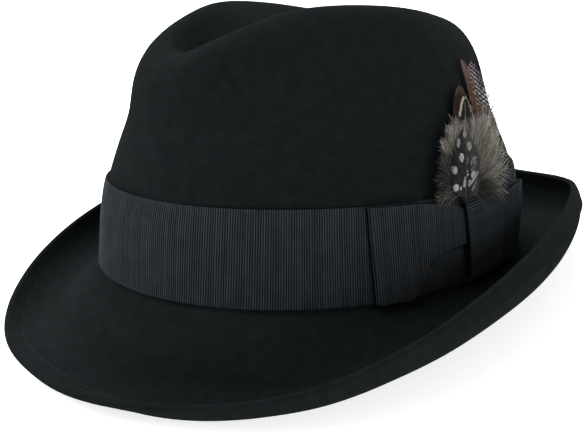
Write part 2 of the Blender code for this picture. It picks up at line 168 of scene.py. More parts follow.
def base_frame(angle):
    """The point on the oval of the crown's base at an angle, and the way outwards there."""
    turn = math.radians(angle)
    half_width = CROWN_WIDTH / 2
    half_length = CROWN_LENGTH / 2
    level = -BREAK_TILT * math.cos(turn) + BREAK_BOW * math.cos(2 * turn)
    point = np.array((half_width * math.sin(turn), -half_length * math.cos(turn), level))
    outwards = np.array((math.sin(turn) / half_width, -math.cos(turn) / half_length, 0.0))
    return point, outwards / np.linalg.norm(outwards)


print("crown height in mm at 0, 55, 90 and 180 degrees",
      [round(CROWN_HEIGHT * section("height", angle) * 1000, 1) for angle in (0, 55, 90, 180)])

# %% [markdown]
# ## The side of the crown
#
# Every trim lies on the crown's side, so one function gives the points of a line up that side at an
# angle, at any heights, standing off the felt by any distance. The front pinches are two soft
# hollows, one on each side, where fingers lift the hat.

# %% Lines up the crown's side
UP = np.array((0.0, 0.0, 1.0))


@functools.lru_cache(maxsize=None)
def lean_curve(angle):
    """How far the crown's side leans in at each height above the base."""
    height = CROWN_HEIGHT * section("height", angle)
    knots = (0.0, BAND_LINE * CROWN_HEIGHT, SIDE_LINE * height, SHOULDER_LINE * height)
    leans = [CROWN_WIDTH / 2 * section(name, angle) for name in ("band_lean", "side_lean", "crest_lean")]
    return smooth_curve(knots, [0.0] + leans, leans[0] / knots[1], SHOULDER_SLOPE)


def wall_line(angle, heights, outside=0.0):
    """Points at heights on the crown's side, or standing off it by distances."""
    heights = np.atleast_1d(np.asarray(heights, float))
    point, outwards = base_frame(angle)
    rise = heights / (CROWN_HEIGHT * section("height", angle))
    around = ((folded(angle) - PINCH_ANGLE) / PINCH_SPREAD) ** 2
    hollow = np.exp(-0.5 * around - 0.5 * ((rise - PINCH_LINE) / PINCH_RISE) ** 2)
    shift = outside - lean_curve(round(angle, 3))(heights) - PINCH_DEPTH * hollow
    return point + outwards * np.atleast_1d(shift)[:, None] + UP * heights[:, None]


print("a point on the band at the left side, in mm", (wall_line(90.0, 0.02)[0] * 1000).round(1))

# %% [markdown]
# ## One line of felt, from the rim to the bottom of the crease
#
# The felt is drawn as lines that run up from the rim, across the brim, through the tight bend at
# the base, up the side, over the rounded crest and down to the bottom of the crease. Lines from the
# left and from the right meet there.

# %% The felt's lines
BRIM_ROWS = 34
BREAK_ROWS = 4
WALL_ROWS = 40
CREST_ROWS = 10
DENT_ROWS = 22


def brim_line(angle, distances):
    """Points of the brim's upper side at distances from the break, measured along the felt."""
    width = BRIM_WIDTH * section("brim", angle)
    slopes = np.radians([section(name, angle) for name in ("root", "middle", "rim")])
    point, outwards = base_frame(angle)
    steps = 120
    slope = np.interp((np.arange(steps) + 0.5) / steps, (0.0, 0.5, 1.0), slopes)
    out = np.concatenate([[0.0], np.cumsum(np.cos(slope))]) * width / steps
    rise = np.concatenate([[0.0], np.cumsum(np.sin(slope))]) * width / steps
    along = np.linspace(0.0, width, steps + 1)
    out_at = np.interp(distances, along, out)[:, None]
    return point + outwards * out_at + UP * np.interp(distances, along, rise)[:, None]


def spine_point(angle):
    """A point at the bottom of the crease in the crown, where its two sides meet."""
    height = CROWN_HEIGHT * section("height", angle)
    ends = []
    for end, side in ((0.0, -1), (180.0, 1)):
        lean = CROWN_WIDTH / 2 * section("crest_lean", end) + CREST_ROUND + DENT_END
        ends.append(side * (CROWN_LENGTH / 2 - lean))
    share = (1 - math.cos(math.radians(angle))) / 2
    level = base_frame(angle)[0][2] + height - DENT_DEPTH * section("dent", angle)
    return np.array((0.0, ends[0] + (ends[1] - ends[0]) * share, level))


def crest_points(edge, outwards, rise, shares):
    """The rounded crest, from the crown's shoulder to its top."""
    top = edge - outwards * CREST_ROUND + UP * rise
    leaving = (UP - outwards * SHOULDER_SLOPE) * rise * CREST_LEAVING
    arriving = -outwards * CREST_ROUND * CREST_ARRIVING
    share = shares[:, None]
    start = edge * (1 + 2 * share) * (1 - share) ** 2 + leaving * share * (1 - share) ** 2
    return start + top * (3 - 2 * share) * share**2 - arriving * share**2 * (1 - share), top


def felt_line(angle):
    """Points up the felt from rim to crease, and how far each lies from the rim."""
    width = BRIM_WIDTH * section("brim", angle)
    height = CROWN_HEIGHT * section("height", angle)
    hem = np.linspace(0.0, HEM_WIDTH * 1.5, 14)
    distances = np.concatenate([width - hem, np.linspace(width - HEM_WIDTH * 1.5, BREAK_RADIUS, BRIM_ROWS)[1:]])
    brim = brim_line(angle, distances)
    share = np.linspace(0.0, 1.0, BREAK_ROWS + 2)[1:-1, None]
    foot = wall_line(angle, BREAK_RADIUS)[0]
    bend = brim[-1] * (1 - share) ** 2 + base_frame(angle)[0] * 2 * share * (1 - share) + foot * share**2
    side = wall_line(angle, np.linspace(BREAK_RADIUS, SHOULDER_LINE * height, WALL_ROWS))
    rise = height * (1 - SHOULDER_LINE)
    crest, top = crest_points(side[-1], base_frame(angle)[1], rise, np.linspace(0, 1, CREST_ROWS + 1)[1:])
    bottom = spine_point(angle)
    share = np.linspace(0.0, 1.0, DENT_ROWS + 1)[1:]
    eased = share**DENT_TIGHTNESS
    dent = top + (bottom - top) * share[:, None]
    dent[:, 2] = top[2] + (bottom[2] - top[2]) * eased * eased * (3 - 2 * eased)
    line = np.concatenate([brim, bend, side, crest, dent])
    from_rim = np.concatenate([width - distances, np.full(len(line) - len(brim), width)])
    return line, from_rim


print("points on the front line", len(felt_line(0.0)[0]))

# %% [markdown]
# ## The felt as a shell
#
# A Solidify modifier would thicken the felt evenly, but a hat's edge is turned under, pressed and
# stitched: it is thicker, has a faint groove along the stitches, and its very edge is round. So the
# underside is made here from the upper side and its normals, with the edge rolled round between.

# %% Build the felt
FELT_COLUMNS = 208
STITCH_FROM_RIM = 0.0062
GROOVE_DEPTH = 0.00030
GROOVE_WIDTH = 0.00075
HEM_SWELL = 0.00030
HAND_WAVE = 0.00035
EDGE_TURNS = (25, 50, 75, 90, 105, 130, 155)


def unit(vectors):
    """The vectors at length one."""
    length = np.linalg.norm(vectors, axis=-1, keepdims=True)
    return vectors / np.maximum(length, 1e-12)


def grid_normals(grid, closed):
    """Normals of a grid of lines and points, pointing away from the hat."""
    if closed:
        across = np.roll(grid, -1, 0) - np.roll(grid, 1, 0)
    else:
        across = np.gradient(grid, axis=0)
    return unit(np.cross(across, np.gradient(grid, axis=1)))


def soft_noise(points, size, seed):
    """A smooth random value for each point, from -1 to 1, with lumps of a size in metres."""
    shift = Vector((seed * 3.1, seed * 1.7, seed * 2.3))
    flat = points.reshape(-1, 3)
    values = [noise.noise(Vector(point) / size + shift) for point in flat]
    return np.array(values).reshape(points.shape[:-1])


def build_felt_grid():
    """The closed lines of the felt shell: underside, round edge and upper side."""
    angles = np.arange(FELT_COLUMNS) * 360.0 / FELT_COLUMNS
    pairs = [felt_line(angle) for angle in angles]
    top = np.array([line for line, _ in pairs])
    from_rim = np.array([distance for _, distance in pairs])
    normals = grid_normals(top, True)
    normals[:, -1] = UP
    seam = np.exp(-((from_rim - STITCH_FROM_RIM) / GROOVE_WIDTH) ** 2)
    swell = 1 / (1 + np.exp((from_rim - STITCH_FROM_RIM) / 0.0003))
    keep_spine = np.clip(np.abs(top[..., 0]) / 0.004, 0, 1)
    keep_spine[:, :60] = 1
    wave = soft_noise(top, 0.030, 1) * HAND_WAVE * keep_spine
    top = top + normals * (wave - GROOVE_DEPTH * seam + HEM_SWELL * swell)[..., None]
    extra = (HEM_THICKNESS - FELT_THICKNESS) / (1 + np.exp((from_rim - HEM_WIDTH) / 0.0002))
    under = top - normals * (FELT_THICKNESS + extra)[..., None]
    under[:, -1, 0] = 0.0
    centre = (top[:, 0] + under[:, 0]) / 2
    half = np.linalg.norm(top[:, 0] - under[:, 0], axis=-1)[:, None] / 2
    away = unit(top[:, 0] - top[:, 1])
    edge = []
    for turn in EDGE_TURNS:
        bend = math.radians(turn)
        edge.append(centre - half * math.cos(bend) * normals[:, 0] + half * math.sin(bend) * away)
    return np.concatenate([under[:, ::-1], np.array(edge).transpose(1, 0, 2), top], axis=1), top, normals


FELT_GRID, FELT_TOP, FELT_NORMALS = build_felt_grid()
print("felt grid", FELT_GRID.shape)

# %% [markdown]
# ## How the hat lies
#
# Put down by itself, a trilby tips back: it touches with the front of its brim and with the back of
# its base. The tip is found by halving an interval until both touch. All pieces are made upright and
# then moved by this one matrix, so they stay together.

# %% Seat the hat on the floor
def lowest(points, pitch, front):
    """The lowest height of the front or the back half of the points, with the hat tipped."""
    half = points[points[:, 1] < 0] if front else points[points[:, 1] >= 0]
    return float((half[:, 1] * math.sin(pitch) + half[:, 2] * math.cos(pitch)).min())


def seat_matrix(points):
    """The move that lays the hat on the floor, and its tip in degrees."""
    steep, level = math.radians(-25), math.radians(10)
    for _ in range(50):
        pitch = (steep + level) / 2
        if lowest(points, pitch, True) > lowest(points, pitch, False):
            steep = pitch
        else:
            level = pitch
    turned = points[:, 1] * math.cos(pitch) - points[:, 2] * math.sin(pitch)
    middle = float(turned.max() + turned.min()) / 2
    floor = min(lowest(points, pitch, True), lowest(points, pitch, False))
    return Matrix.Translation((0, -middle, -floor)) @ Matrix.Rotation(pitch, 4, "X"), math.degrees(pitch)


SEAT, PITCH = seat_matrix(FELT_GRID.reshape(-1, 3))
print("the hat tips by", round(PITCH, 2), "degrees and its base rises", round(SEAT.translation.z * 1000, 2), "mm")

# %% [markdown]
# ## From arrays to pieces
#
# Everything here is computed as arrays of points, which numpy keeps fast. Two helpers turn them into
# Blender objects: one for a plain list of points and faces, and one that joins lines into faces.

# %% Piece helpers
def add_mesh(name, points, faces, finish, uv=None, tint=None):
    """An object from points in the hat's own upright frame, laid on the floor with the hat."""
    mesh = bpy.data.meshes.new(name)
    mesh.from_pydata(np.asarray(points, float).tolist(), [], faces)
    if uv is not None:
        corners = np.empty(len(mesh.loops), int)
        mesh.loops.foreach_get("vertex_index", corners)
        for label, values in uv.items():
            layer = mesh.uv_layers.new(name=label)
            layer.data.foreach_set("uv", np.asarray(values, float)[corners].ravel())
    if tint is not None:
        attribute = mesh.attributes.new("tint", "FLOAT", "POINT")
        attribute.data.foreach_set("value", np.asarray(tint, float).ravel())
    mesh.transform(SEAT)
    mesh.materials.append(finish)
    mesh.shade_smooth()
    mesh.update()
    piece = bpy.data.objects.new(name, mesh)
    bpy.context.scene.collection.objects.link(piece)
    return piece


def grid_faces(lines, count, closed_lines, closed_points, start=0):
    """Faces between neighbouring lines of a grid that has count points a line."""
    faces = []
    for i in range(lines if closed_lines else lines - 1):
        j = (i + 1) % lines
        for k in range(count if closed_points else count - 1):
            n = (k + 1) % count
            faces.append((start + i * count + k, start + j * count + k, start + j * count + n, start + i * count + n))
    return faces


def weld(piece, distance=1e-6):
    """Join points that lie on each other."""
    import bmesh
    builder = bmesh.new()
    builder.from_mesh(piece.data)
    bmesh.ops.remove_doubles(builder, verts=builder.verts, dist=distance)
    builder.to_mesh(piece.data)
    builder.free()
    return piece


print("helpers ready")

# %% [markdown]
# ## Shared effects as node groups
#
# Felt, ribbon and down all need soft uneven colour and fine fibre, at different scales. One node
# group makes both from a position: a slow mottle for the colour and a fine nap for the bump. It puts
# out plain values, and each material decides what they do.

# %% Node helpers and the nap group
def node(tree, kind, inputs=(), **settings):
    """A node with its settings, and its inputs filled with values or linked to sockets."""
    made = tree.nodes.new(kind)
    for key, value in settings.items():
        setattr(made, key, value)
    for key, value in dict(inputs).items():
        if isinstance(value, bpy.types.NodeSocket):
            tree.links.new(value, made.inputs[key])
        else:
            made.inputs[key].default_value = value
    return made


def new_group(name, inputs, outputs):
    """An empty shader node group with named number inputs and named outputs."""
    tree = bpy.data.node_groups.new(name, "ShaderNodeTree")
    for label, value in inputs:
        socket = tree.interface.new_socket(label, in_out="INPUT", socket_type="NodeSocketFloat")
        socket.default_value = value
    for label in outputs:
        tree.interface.new_socket(label, in_out="OUTPUT", socket_type="NodeSocketFloat")
    return tree, tree.nodes.new("NodeGroupInput"), tree.nodes.new("NodeGroupOutput")


def build_nap_group():
    """Mottle and nap: a slow uneven tone, and fine fibres for the bump."""
    tree, given, result = new_group("fibre_nap", [("Mottle Scale", 60.0), ("Fibre Scale", 1500.0)], ["Mottle", "Fibre"])
    place = node(tree, "ShaderNodeTexCoord").outputs["Object"]
    mottle = node(tree, "ShaderNodeTexNoise", {
        "Vector": place, "Scale": given.outputs["Mottle Scale"], "Detail": 5.0, "Roughness": 0.62})
    fibre = node(tree, "ShaderNodeTexNoise", {
        "Vector": place, "Scale": given.outputs["Fibre Scale"], "Detail": 3.0, "Roughness": 0.7, "Distortion": 1.2})
    tree.links.new(mottle.outputs["Fac"], result.inputs["Mottle"])
    tree.links.new(fibre.outputs["Fac"], result.inputs["Fibre"])
    return tree


NAP = build_nap_group()


def new_material(name, roughness, sheen=0.0, specular=0.25):
    """A material with a Principled BSDF, and the tree and shader to wire up."""
    made = bpy.data.materials.new(name)
    made.use_nodes = True
    shader = made.node_tree.nodes["Principled BSDF"]
    shader.inputs["Roughness"].default_value = roughness
    shader.inputs["Sheen Weight"].default_value = sheen
    shader.inputs["Sheen Roughness"].default_value = 0.5
    shader.inputs["Specular IOR Level"].default_value = specular
    return made, made.node_tree, shader


def use_group(tree, group, inputs=()):
    """A node that places a group in a material."""
    placed = tree.nodes.new("ShaderNodeGroup")
    placed.node_tree = group
    for key, value in dict(inputs).items():
        if isinstance(value, bpy.types.NodeSocket):
            tree.links.new(value, placed.inputs[key])
        else:
            placed.inputs[key].default_value = value
    return placed


def ramp(tree, value, stops):
    """A colour ramp: stops are pairs of a place and an RGB colour."""
    made = node(tree, "ShaderNodeValToRGB", {"Fac": value})
    band = made.color_ramp
    while len(band.elements) > 1:
        band.elements.remove(band.elements[-1])
    band.elements[0].position = stops[0][0]
    band.elements[0].color = (*stops[0][1], 1.0)
    for place, colour in stops[1:]:
        band.elements.new(place).color = (*colour, 1.0)
    return made.outputs["Color"]


def math_node(tree, operation, first, second=0.0, third=None):
    """The result of one sum."""
    inputs = {0: first, 1: second}
    if third is not None:
        inputs[2] = third
    return node(tree, "ShaderNodeMath", inputs, operation=operation).outputs[0]


def between(tree, value, low, high):
    """A value that goes smoothly from 0 at low to 1 at high."""
    limits = {"Value": value, "From Min": low, "From Max": high}
    made = node(tree, "ShaderNodeMapRange", limits, interpolation_type="SMOOTHSTEP")
    return made.outputs["Result"]


def mixed(tree, factor, first, second):
    """A mix of two colours."""
    made = node(tree, "ShaderNodeMix", data_type="RGBA")
    for key, value in ((0, factor), (6, first), (7, second)):
        if isinstance(value, bpy.types.NodeSocket):
            tree.links.new(value, made.inputs[key])
        else:
            made.inputs[key].default_value = value if key == 0 else (*value, 1.0)
    return made.outputs[2]


print("groups", [group.name for group in bpy.data.node_groups])

# %% [markdown]
# ## Wool felt
#
# Felt has no weave. It is a mat of short fibres with a dry nap, so it has no gloss and only a
# breath of sheen from the Principled BSDF. The colour is a charcoal with a little green, and it varies
# softly, with a fine grain from the fibre noise.

# %% The felt's material and piece
def make_felt_material():
    made, tree, shader = new_material("wool_felt", 0.95, sheen=0.01, specular=0.0)
    nap = use_group(tree, NAP, {"Mottle Scale": 190.0, "Fibre Scale": 1100.0})
    tone = math_node(tree, "ADD", nap.outputs["Mottle"], nap.outputs["Fibre"])
    colour = ramp(tree, math_node(tree, "MULTIPLY", tone, 0.5), [
        (0.35, (0.0059, 0.0078, 0.0083)), (0.50, (0.0077, 0.0101, 0.0107)), (0.65, (0.0102, 0.0130, 0.0137))])
    tree.links.new(colour, shader.inputs["Base Color"])
    bump = node(tree, "ShaderNodeBump", {"Height": nap.outputs["Fibre"], "Strength": 0.3, "Distance": 0.0005})
    tree.links.new(bump.outputs["Normal"], shader.inputs["Normal"])
    return made


FELT = make_felt_material()
lines, count = FELT_GRID.shape[:2]
felt = weld(add_mesh("felt_hat_body", FELT_GRID.reshape(-1, 3), grid_faces(lines, count, True, False), FELT))
felt.data.shade_smooth()
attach(felt, "root")
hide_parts("felt_body")
print("felt triangles", 2 * len(felt.data.polygons))

# %% [markdown]
# ## Strands
#
# Stitches, quills, barbs and down are all strands: a row of points with a width at each one. A strand
# gets three sides, so it is a closed solid that catches light, and still costs few faces. Strands
# are collected in a bundle and become one mesh.

# %% Strand bundles
class Bundle:
    """Many strands that become one piece, with a place along and across each and a tint."""

    def __init__(self):
        self.points, self.faces, self.tints = [], [], []
        self.uv = {"along": [], "place": []}
        self.count = 0

    def strand(self, path, normals, widths, thickness, uv=None, tint=0.5, places=None):
        """Adds a closed three-sided strand along a path, flat across the normals."""
        path = np.asarray(path, float)
        normals = unit(np.asarray(normals, float))
        along = unit(np.gradient(path, axis=0))
        side = unit(np.cross(along, normals))
        half = np.asarray(widths, float)[:, None] / 2
        deep = np.broadcast_to(np.asarray(thickness, float), (len(path),))[:, None]
        rows = np.stack([path + side * half, path + normals * deep, path - side * half], axis=1)
        size = len(path)
        start = self.count
        self.points.append(rows.reshape(-1, 3))
        for i in range(size - 1):
            a = start + 3 * i
            for k, n in ((0, 1), (1, 2), (2, 0)):
                self.faces.append((a + k, a + 3 + k, a + 3 + n, a + n))
        last = start + 3 * (size - 1)
        self.faces.append((start, start + 1, start + 2))
        self.faces.append((last + 2, last + 1, last))
        if uv is None:
            uv = np.stack([np.zeros(size), np.linspace(0, 1, size)], axis=1)
        if places is None:
            places = np.zeros((size, 2))
        self.uv["along"].append(np.repeat(np.asarray(uv, float), 3, axis=0))
        self.uv["place"].append(np.repeat(np.asarray(places, float), 3, axis=0))
        self.tints.append(np.repeat(np.broadcast_to(np.asarray(tint, float), (size,)), 3))
        self.count += 3 * size

    def piece(self, name, finish):
        """The bundle as one object."""
        maps = {label: np.concatenate(values) for label, values in self.uv.items()}
        return add_mesh(name, np.concatenate(self.points), self.faces, finish, maps, np.concatenate(self.tints))

    def triangles(self):
        """How many triangles the strands have."""
        return sum(len(face) - 2 for face in self.faces)


print("strand bundles ready")

# %% [markdown]
# ## The stitched edge
#
# Two rows of thread hold the turned edge down. Only the one on top is drawn, a few millimetres in
# from the rim, which shows as fine dashes in a groove. Each stitch is a short curved strand that dives at both ends.

# %% Stitches along the brim
STITCH_LENGTH = 0.0026
STITCH_GAP = 0.0009
THREAD_WIDTH = 0.00042


def thread_material():
    made, tree, shader = new_material("brim_thread", 0.8, specular=0.1)
    nap = use_group(tree, NAP, {"Mottle Scale": 300.0, "Fibre Scale": 4000.0})
    colour = ramp(tree, nap.outputs["Mottle"], [(0.3, (0.010, 0.012, 0.013)), (0.7, (0.024, 0.028, 0.030))])
    tree.links.new(colour, shader.inputs["Base Color"])
    return made


def stitch_row():
    """Points and normals along the groove, evenly spaced round the whole brim."""
    row = 0
    line, from_rim = felt_line(0.0)
    row = int(np.argmin(np.abs(from_rim - STITCH_FROM_RIM)))
    loop = np.concatenate([FELT_TOP[:, row], FELT_TOP[:1, row]])
    facing = np.concatenate([FELT_NORMALS[:, row], FELT_NORMALS[:1, row]])
    length = np.concatenate([[0.0], np.cumsum(np.linalg.norm(np.diff(loop, axis=0), axis=1))])
    return loop, facing, length


THREAD = thread_material()
loop, facing, length = stitch_row()
stitches = Bundle()
stitch_count = int(length[-1] / (STITCH_LENGTH + STITCH_GAP))
for i in range(stitch_count):
    start = i * length[-1] / stitch_count
    spots = start + np.linspace(0.0, STITCH_LENGTH, 6)
    path = np.stack([np.interp(spots, length, loop[:, k]) for k in range(3)], axis=1)
    away = unit(np.stack([np.interp(spots, length, facing[:, k]) for k in range(3)], axis=1))
    lift = np.sin(np.linspace(0, math.pi, 6))[:, None] * 0.00022 - 0.0001
    stitches.strand(path + away * lift, away, THREAD_WIDTH * np.array((0.6, 1, 1.1, 1.1, 1, 0.6)), 0.0002)
brim_stitches = stitches.piece("brim_stitches", THREAD)
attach(brim_stitches, "root")
print("stitches", stitch_count, "over", round(length[-1] * 1000), "mm")

# %% [markdown]
# ## Grosgrain
#
# Grosgrain ribbon is woven with thick weft, so it has fine ribs straight across it, about one every
# millimetre, and neat edges. At this size the ribs are what makes it ribbon, so they are geometry:
# four lines of points to a rib. The same function makes the band, both wings and the knot, from the
# middle surface of each.

# %% The ribbon function and its material
RIB_PITCH = 0.0010
RIB_HEIGHT = 0.00030
RIB_LINES = 4
RIB_UNEVENNESS = 0.18
# How steeply the painted shade in the furrows falls off towards the rib tops.
FURROW_SHADE_POWER = 2.1
ACROSS = np.array((0.0, 0.006, 0.02, 0.06, 0.14, 0.26, 0.38, 0.5, 0.62, 0.74, 0.86, 0.94, 0.98, 0.994, 1.0))
EDGE_FULLNESS = np.interp(ACROSS, (0.0, 0.006, 0.02, 0.98, 0.994, 1.0), (0.45, 0.85, 1.0, 1.0, 0.85, 0.45))
# Painted shade: the colour the ribbon is darkened to at the bottom of each furrow between ribs.
FURROW_PAINTED_SHADE = (0.0008, 0.0010, 0.0012)


def make_ribbon_material():
    made, tree, shader = new_material("grosgrain", 0.75, sheen=0.01, specular=0.03)
    nap = use_group(tree, NAP, {"Mottle Scale": 140.0, "Fibre Scale": 3200.0})
    colour = ramp(tree, nap.outputs["Mottle"], [
        (0.30, (0.0295, 0.0355, 0.0405)), (0.52, (0.0365, 0.0435, 0.0495)), (0.75, (0.0450, 0.0530, 0.0600))])
    # The tint attribute carries the shade painted into the furrows and beside creases.
    tint = node(tree, "ShaderNodeAttribute", attribute_name="tint")
    tree.links.new(mixed(tree, tint.outputs["Fac"], FURROW_PAINTED_SHADE, colour), shader.inputs["Base Color"])
    bump = node(tree, "ShaderNodeBump", {"Height": nap.outputs["Fibre"], "Strength": 0.3, "Distance": 0.0002})
    tree.links.new(bump.outputs["Normal"], shader.inputs["Normal"])
    return made


RIBBON = make_ribbon_material()


def rib_relief(count, seed):
    """Height of the ribs at each line of points, from 0 in a furrow to 1 on a rib, a little uneven."""
    phase = np.arange(count) / RIB_LINES
    chance = np.random.default_rng(seed)
    uneven = 1 + RIB_UNEVENNESS * (chance.random(int(phase.max()) + 2) - 0.5)
    return np.sin(math.pi * (phase % 1.0)) * uneven[phase.astype(int)]


def painted_crease_shade(distance, reach):
    """How much of the colour is left where shade is painted by a crease: little in it, all of it further off."""
    return 1 - 0.88 * np.exp(-(np.asarray(distance, float) / reach) ** 2)


def ribbed_piece(name, middle, thickness, closed, seed, shade=1.0):
    """A ribbon round a grid of middle points, lines along it and points across it, with ribs, and with shade painted
    into the furrows and beside creases.
    """
    normals = grid_normals(middle, closed)
    relief = rib_relief(len(middle), seed)[:, None, None]
    half = (thickness / 2 - RIB_HEIGHT / 2) * EDGE_FULLNESS[None, :, None]
    front = middle + normals * (half + RIB_HEIGHT * relief)
    back = middle - normals * (half + RIB_HEIGHT / 2 * relief)
    rings = np.concatenate([back[:, ::-1], front], axis=1)
    lines, count = rings.shape[:2]
    faces = grid_faces(lines, count, closed, True)
    if not closed:
        faces.append(tuple(range(count))[::-1])
        faces.append(tuple((lines - 1) * count + k for k in range(count)))
    light = np.broadcast_to(shade, middle.shape[:2])
    # Painted shade: the colour darkens into each furrow between ribs, and the given crease shade darkens it further.
    tint = relief[..., 0] ** FURROW_SHADE_POWER * np.concatenate([light[:, ::-1], light], axis=1)
    piece = add_mesh(name, rings.reshape(-1, 3), faces, RIBBON, tint=tint)
    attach(piece, "root")
    return piece


print("ribs every", RIB_PITCH * 1000, "mm")

# %% [markdown]
# ## Places round the bow
#
# The bow sits on the wearer's left, a little behind the middle. Everything on it is placed by how far
# it lies from the bow's middle, measured round the hat, and by its height on the crown.

# %% Places round the bow
BOW_MIDDLE_HEIGHT = RIBBON_BOTTOM + RIBBON_WIDTH / 2


def base_radius():
    """How much length round the base one radian of the hat takes at the bow."""
    turn = math.radians(BOW_ANGLE)
    return math.hypot(CROWN_WIDTH / 2 * math.cos(turn), CROWN_LENGTH / 2 * math.sin(turn))


BASE_RADIUS = base_radius()


def bow_angle(along):
    """The angle round the hat at a distance from the middle of the bow."""
    return BOW_ANGLE + math.degrees(along / BASE_RADIUS)


def bow_point(along, height, outside):
    """A point at a distance round the hat from the middle of the bow."""
    return wall_line(bow_angle(along), height, outside)[0]


def knot_edge(hand, heights):
    """Where the knot's front edge (-1) or rear edge (1) lies at heights on the crown."""
    return hand * KNOT_WIDTH / 2 - 2 * KNOT_LEAN * (heights - BOW_MIDDLE_HEIGHT) / KNOT_HEIGHT


print("the bow's wings reach to", round(bow_angle(-WING_LENGTH), 1), "and", round(bow_angle(WING_LENGTH), 1))

# %% [markdown]
# ## The band
#
# The band lies flat on the crown and is drawn tight, so it follows the base oval, leaning in a
# little towards the top. Its lines are spread by distance and not by angle, so that the ribs are
# even all the way round. Beside the end of the bow's front wing, shade is painted onto the band as
# a dark line.

# %% Ribbon band
# Width of the shade painted on the band just outside the front wing's end, and its distance from that end.
WING_END_SHADE = 0.0006


def even_angles(count):
    """Angles in degrees that divide the band into equal lengths."""
    angles = np.linspace(0.0, 360.0, 1441)
    ring = np.array([wall_line(angle, BOW_MIDDLE_HEIGHT)[0] for angle in angles])
    length = np.concatenate([[0.0], np.cumsum(np.linalg.norm(np.diff(ring, axis=0), axis=1))])
    return np.interp(np.arange(count) * length[-1] / count, length, angles), length[-1]


BAND_LENGTH = even_angles(RIB_LINES)[1]
band_ribs = round(BAND_LENGTH / RIB_PITCH)
band_angles = even_angles(band_ribs * RIB_LINES)[0]
heights = RIBBON_BOTTOM + RIBBON_WIDTH * ACROSS
band_middle = np.array([wall_line(angle, heights, CLEARANCE + RIBBON_THICKNESS / 2) for angle in band_angles])
from_bow = np.radians(band_angles - BOW_ANGLE)[:, None] * BASE_RADIUS
wing_end = -(WING_LENGTH + WING_SLANT * (ACROSS - 0.5))
# Painted shade: a dark line on the band beside the front wing's end.
band_shade = painted_crease_shade(from_bow - wing_end + WING_END_SHADE, WING_END_SHADE)
band = ribbed_piece("ribbon_band_cloth", band_middle, RIBBON_THICKNESS, True, 11, band_shade)
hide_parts("ribbon_band")
print("band", round(BAND_LENGTH * 1000), "mm round,", band_ribs, "ribs,", 2 * len(band.data.polygons), "triangles")

# %% [markdown]
# ## The bow
#
# The bow is flat: a wing of folded ribbon to the front, one to the back, and a strip round the
# middle. The front wing is gathered at the knot, so its lower corner is tucked up and the layer
# under it shows, with its ribs running aslant. Shade is painted onto the wings beside the knot, and
# onto the layer under the front wing's fold.

# %% Wings
FRONT_WING = (
    (0.00, 0.47, 0.17, 0.76),
    (0.19, 0.47, 0.13, 0.80),
    (0.27, 0.47, 0.10, 0.87),
    (0.37, 0.46, 0.05, 0.94),
    (0.50, 0.43, 0.03, 0.97),
    (0.57, 0.36, 0.02, 0.98),
    (0.63, 0.20, 0.01, 0.99),
    (0.70, 0.00, 0.00, 1.00),
    (1.00, 0.00, 0.00, 1.00),
)
REAR_WING = (
    (0.00, 0.13, 0.13, 0.80),
    (0.25, 0.08, 0.08, 0.86),
    (0.55, 0.01, 0.01, 0.90),
    (1.00, 0.00, 0.00, 0.80),
)
UNDER_SLOPE = 0.77
UNDER_MIDDLE = 0.0100
UNDER_REACH = 0.0400
# How far the shade painted under the front wing's fold reaches down the layer below it.
FOLD_SHADE_REACH = 0.0009


def wing_profile(puff):
    """The side view of a wing's loop, from the knot out and back: place, distance off and layer."""
    under = 2 * CLEARANCE + RIBBON_THICKNESS + BOW_THICKNESS / 2
    radius = (BOW_THICKNESS + LOOP_GAP) / 2
    straight = WING_LENGTH - radius
    rows = []
    for place in np.linspace(CLEARANCE, straight, 60):
        free = max(0.0, (place - KNOT_WIDTH / 2) / (straight - KNOT_WIDTH / 2))
        rows.append((place, under + 2 * radius + puff * math.sin(math.pi * free) ** 2, 0.0))
    for turn in np.linspace(0, math.pi, 14)[1:-1]:
        away = under + radius + radius * math.cos(turn)
        rows.append((straight + radius * math.sin(turn), away, turn / math.pi))
    for place in np.linspace(straight, CLEARANCE, 60):
        rows.append((place, under, 1.0))
    return np.array(rows)


def even_rows(rows, count):
    """The rows of a side view, spread evenly by length, and the whole length."""
    length = np.concatenate([[0.0], np.cumsum(np.linalg.norm(np.diff(rows[:, :2], axis=0), axis=1))])
    spots = np.linspace(0.0, length[-1], count)
    columns = [np.interp(spots, length, rows[:, k]) for k in range(rows.shape[1])]
    return np.stack(columns, axis=1), length[-1]


def wing_levels(table, places, layer):
    """Heights across a wing at places, between its lower and its upper edge there."""
    shares = np.clip(places / WING_LENGTH, 0.0, 1.0)
    upper, under, high = (np.interp(shares, table[:, 0], table[:, k]) for k in (1, 2, 3))
    low = upper + (under - upper) * layer
    return RIBBON_BOTTOM + RIBBON_WIDTH * (low + (high - low) * ACROSS), RIBBON_BOTTOM + RIBBON_WIDTH * upper


